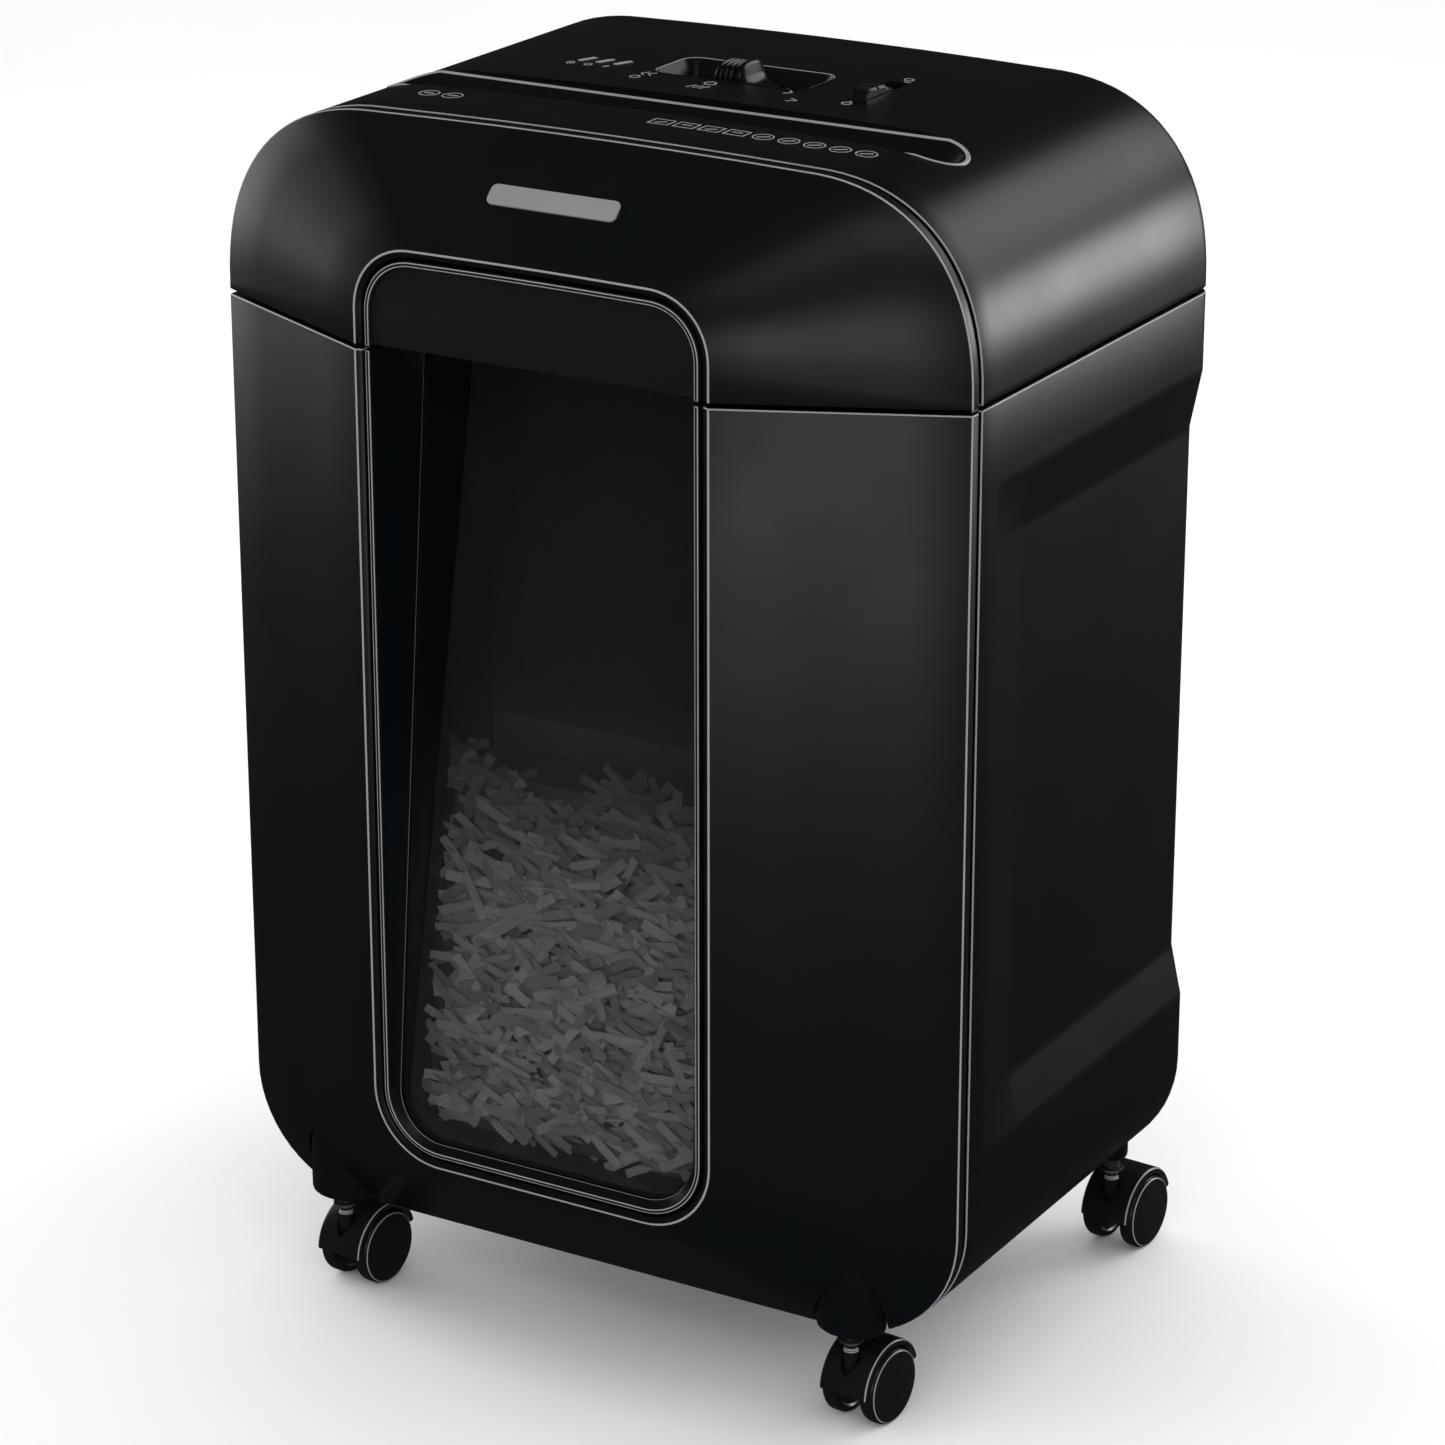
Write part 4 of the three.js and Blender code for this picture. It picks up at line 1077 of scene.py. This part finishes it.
def make_shreds():
    chance = random.Random(7)
    half = OPENING["half"] - 14.5
    floor = OPENING["bottom"] + 13
    parts, tones_and_painted_shades = [], []

    def room(x, z):
        """How far inside the rounded window a spot lies, in mm."""
        foot = OPENING["foot"] - 12
        sideways = half - abs(x)
        below = z - floor
        if sideways < foot and below < foot:
            return foot - math.hypot(foot - sideways, foot - below)
        return min(sideways, below)

    while len(parts) < STRIPS:
        z = chance.uniform(floor, HEAP_TOP + 6)
        x = chance.uniform(-half, half)
        length = chance.uniform(14, 26)
        if room(x, z) < length * 0.12:
            continue
        if z > HEAP_TOP - 12 + 8 * math.sin(x * 0.07):
            continue
        depth = chance.uniform(5.6, 11)
        y = window_y(x, z) + 2.6 + depth
        lean = chance.uniform(-1, 1) * (1.35 if chance.random() < 0.35 else 0.6)
        part = strip(chance, (x, y, z), length, chance.uniform(3.2, 4.6), chance.uniform(-1.2, 1.2), lean)
        # Painted shade: the strips darken towards the top of the heap; each also gets a random tone.
        painted_shade_towards_top = max(0.2, min(1, (HEAP_TOP + 10 - z) / 70))
        tones_and_painted_shades += [painted_shade_towards_top * chance.uniform(0.45, 1)] * len(part.faces)
        parts.append(part)
    loose = merged(parts)
    backing = skin(
        [
            place(opening_outline(12.6), "y", shifted(window_y, 13.5)),
            place(opening_outline(12.6), "y", 79),
        ]
    )
    backing = keep_side(backing, HEAP_TOP - 14, above=False)
    heap_outline = [(79, 102), (79, HEAP_TOP), (110, HEAP_TOP + 3), (160, 216), (232, 150), (232, 102)]
    heap = prism(heap_outline, "x", -156, 156)
    # Painted shade: the backing sheet and the heap behind the strips are painted dark grey.
    tones_and_painted_shades += [0.12] * (len(backing.faces) + len(heap.faces))
    shreds = merged([loose, backing, heap])
    shreds_object = piece("cut_paper", shreds, PAPER, "bin", ["paper_shreds"], smooth_below=50)
    layer = shreds_object.data.attributes.new("tone_and_painted_shade", "FLOAT_COLOR", "FACE")
    for value, tone_and_painted_shade in zip(layer.data, tones_and_painted_shades):
        value.color = (tone_and_painted_shade, tone_and_painted_shade, tone_and_painted_shade, 1)


# ---- camera, light and floor ----
FOCAL_LENGTH = 119.95
CAMERA_PLACE = (962.15, -1484.98, 952.99)
CAMERA_AZIMUTH = 30.53
CAMERA_ELEVATION = 20.42


def make_camera():
    camera = bpy.data.objects.new("camera", bpy.data.cameras.new("camera"))
    bpy.context.scene.collection.objects.link(camera)
    camera.data.sensor_width = 36
    camera.data.lens = FOCAL_LENGTH
    camera.data.clip_end = 50
    camera.location = at(*CAMERA_PLACE)
    a, e = math.radians(CAMERA_AZIMUTH), math.radians(CAMERA_ELEVATION)
    back = Vector((math.sin(a) * math.cos(e), -math.cos(a) * math.cos(e), math.sin(e)))
    camera.rotation_euler = back.to_track_quat("Z", "Y").to_euler()
    bpy.context.scene.camera = camera


def add_softbox(name, place_mm, aim_mm, width, height, power):
    light = bpy.data.lights.new(name, "AREA")
    light.shape = "RECTANGLE"
    light.size = width
    light.size_y = height
    light.energy = power
    obj = bpy.data.objects.new(name, light)
    bpy.context.scene.collection.objects.link(obj)
    obj.location = at(*place_mm)
    direction = at(*aim_mm) - obj.location
    obj.rotation_euler = direction.to_track_quat("-Z", "Y").to_euler()


# ---- the CAD nodes that keep their shape ----
def dress(node, material, edge=0.25):
    """Gives a CAD node its material and takes the sharpness off its edges."""
    obj = bpy.data.objects[node]
    for slot in obj.material_slots:
        slot.link = "OBJECT"
        slot.material = material
    bevel = obj.modifiers.new("edges", "BEVEL")
    bevel.width = edge * MM
    bevel.segments = 2
    bevel.limit_method = "ANGLE"
    bevel.angle_limit = math.radians(40)


def dress_cad_nodes():
    for node in ("head_base_plate", "bin_tub"):
        dress(node, INSIDE)
    for node in ("throat_guide_front", "throat_guide_rear", "side_plate_left", "side_plate_right"):
        dress(node, STEEL, 0.15)
    for node in ("cutter_front", "cutter_rear", "tie_rod_front", "tie_rod_rear", "motor"):
        dress(node, STEEL, 0.2)
    for node in ("cutter_gear_front", "cutter_gear_rear", "motor_pinion"):
        dress(node, DARK_STEEL, 0.1)
    for node in ("drive_gear", "idler_gear", "stripper_comb_front", "stripper_comb_rear", "bin_switch"):
        dress(node, NYLON, 0.1)
    for end in CASTORS:
        dress(f"bush_{end}", NYLON, 0.2)
        dress(f"castor_{end}_axle", BRIGHT_STEEL, 0.2)
    dress("control_board", BOARD, 0.1)
    dress("front_badge", SILVER)


def make_studio():
    bpy.context.scene.view_settings.view_transform = "Standard"
    floor = new_object("floor", mesh_from(block((-4000, -4000, -10), (4000, 4000, 0)), "floor"))
    pale, tree, shader = principled("pale_floor", (0.86, 0.86, 0.86), 0.6)
    vary(tree, shader, "Roughness", add_noise(tree, 3, 2), 0.55, 0.65)
    floor.data.materials.append(pale)
    floor.visible_glossy = False
    world = bpy.data.worlds.new("studio")
    world.use_nodes = True
    tree = world.node_tree
    background = tree.nodes["Background"]
    background.inputs["Color"].default_value = (1, 1, 1, 1)
    path = tree.nodes.new("ShaderNodeLightPath")
    strength = tree.nodes.new("ShaderNodeMapRange")
    strength.inputs["To Min"].default_value = 1.25  # what lights the object
    strength.inputs["To Max"].default_value = 0.03  # what its surfaces mirror
    tree.links.new(path.outputs["Is Glossy Ray"], strength.inputs["Value"])
    tree.links.new(strength.outputs["Result"], background.inputs["Strength"])
    bpy.context.scene.world = world
    head = (0, 100, 430)
    add_softbox("left", (-1900, 300, 750), head, 1.0, 1.3, 9)
    add_softbox("front", (750, -1500, 1800), head, 1.2, 0.8, 3)
    add_softbox("back_right", (900, 1800, 1300), head, 1.2, 0.9, 6)
    add_softbox("low_right", (1300, 1900, 420), (170, 150, 200), 0.7, 0.5, 9)
    add_softbox("low_front", (800, -1900, 320), (100, 0, 100), 0.6, 0.5, 3)


make_front()
make_cover()
make_cabinet()
make_entry()
make_switch()
make_lock()
make_lamps()
make_entry_marks()
make_gland()
make_castors()
make_shreds()
dress_cad_nodes()
make_camera()
make_studio()
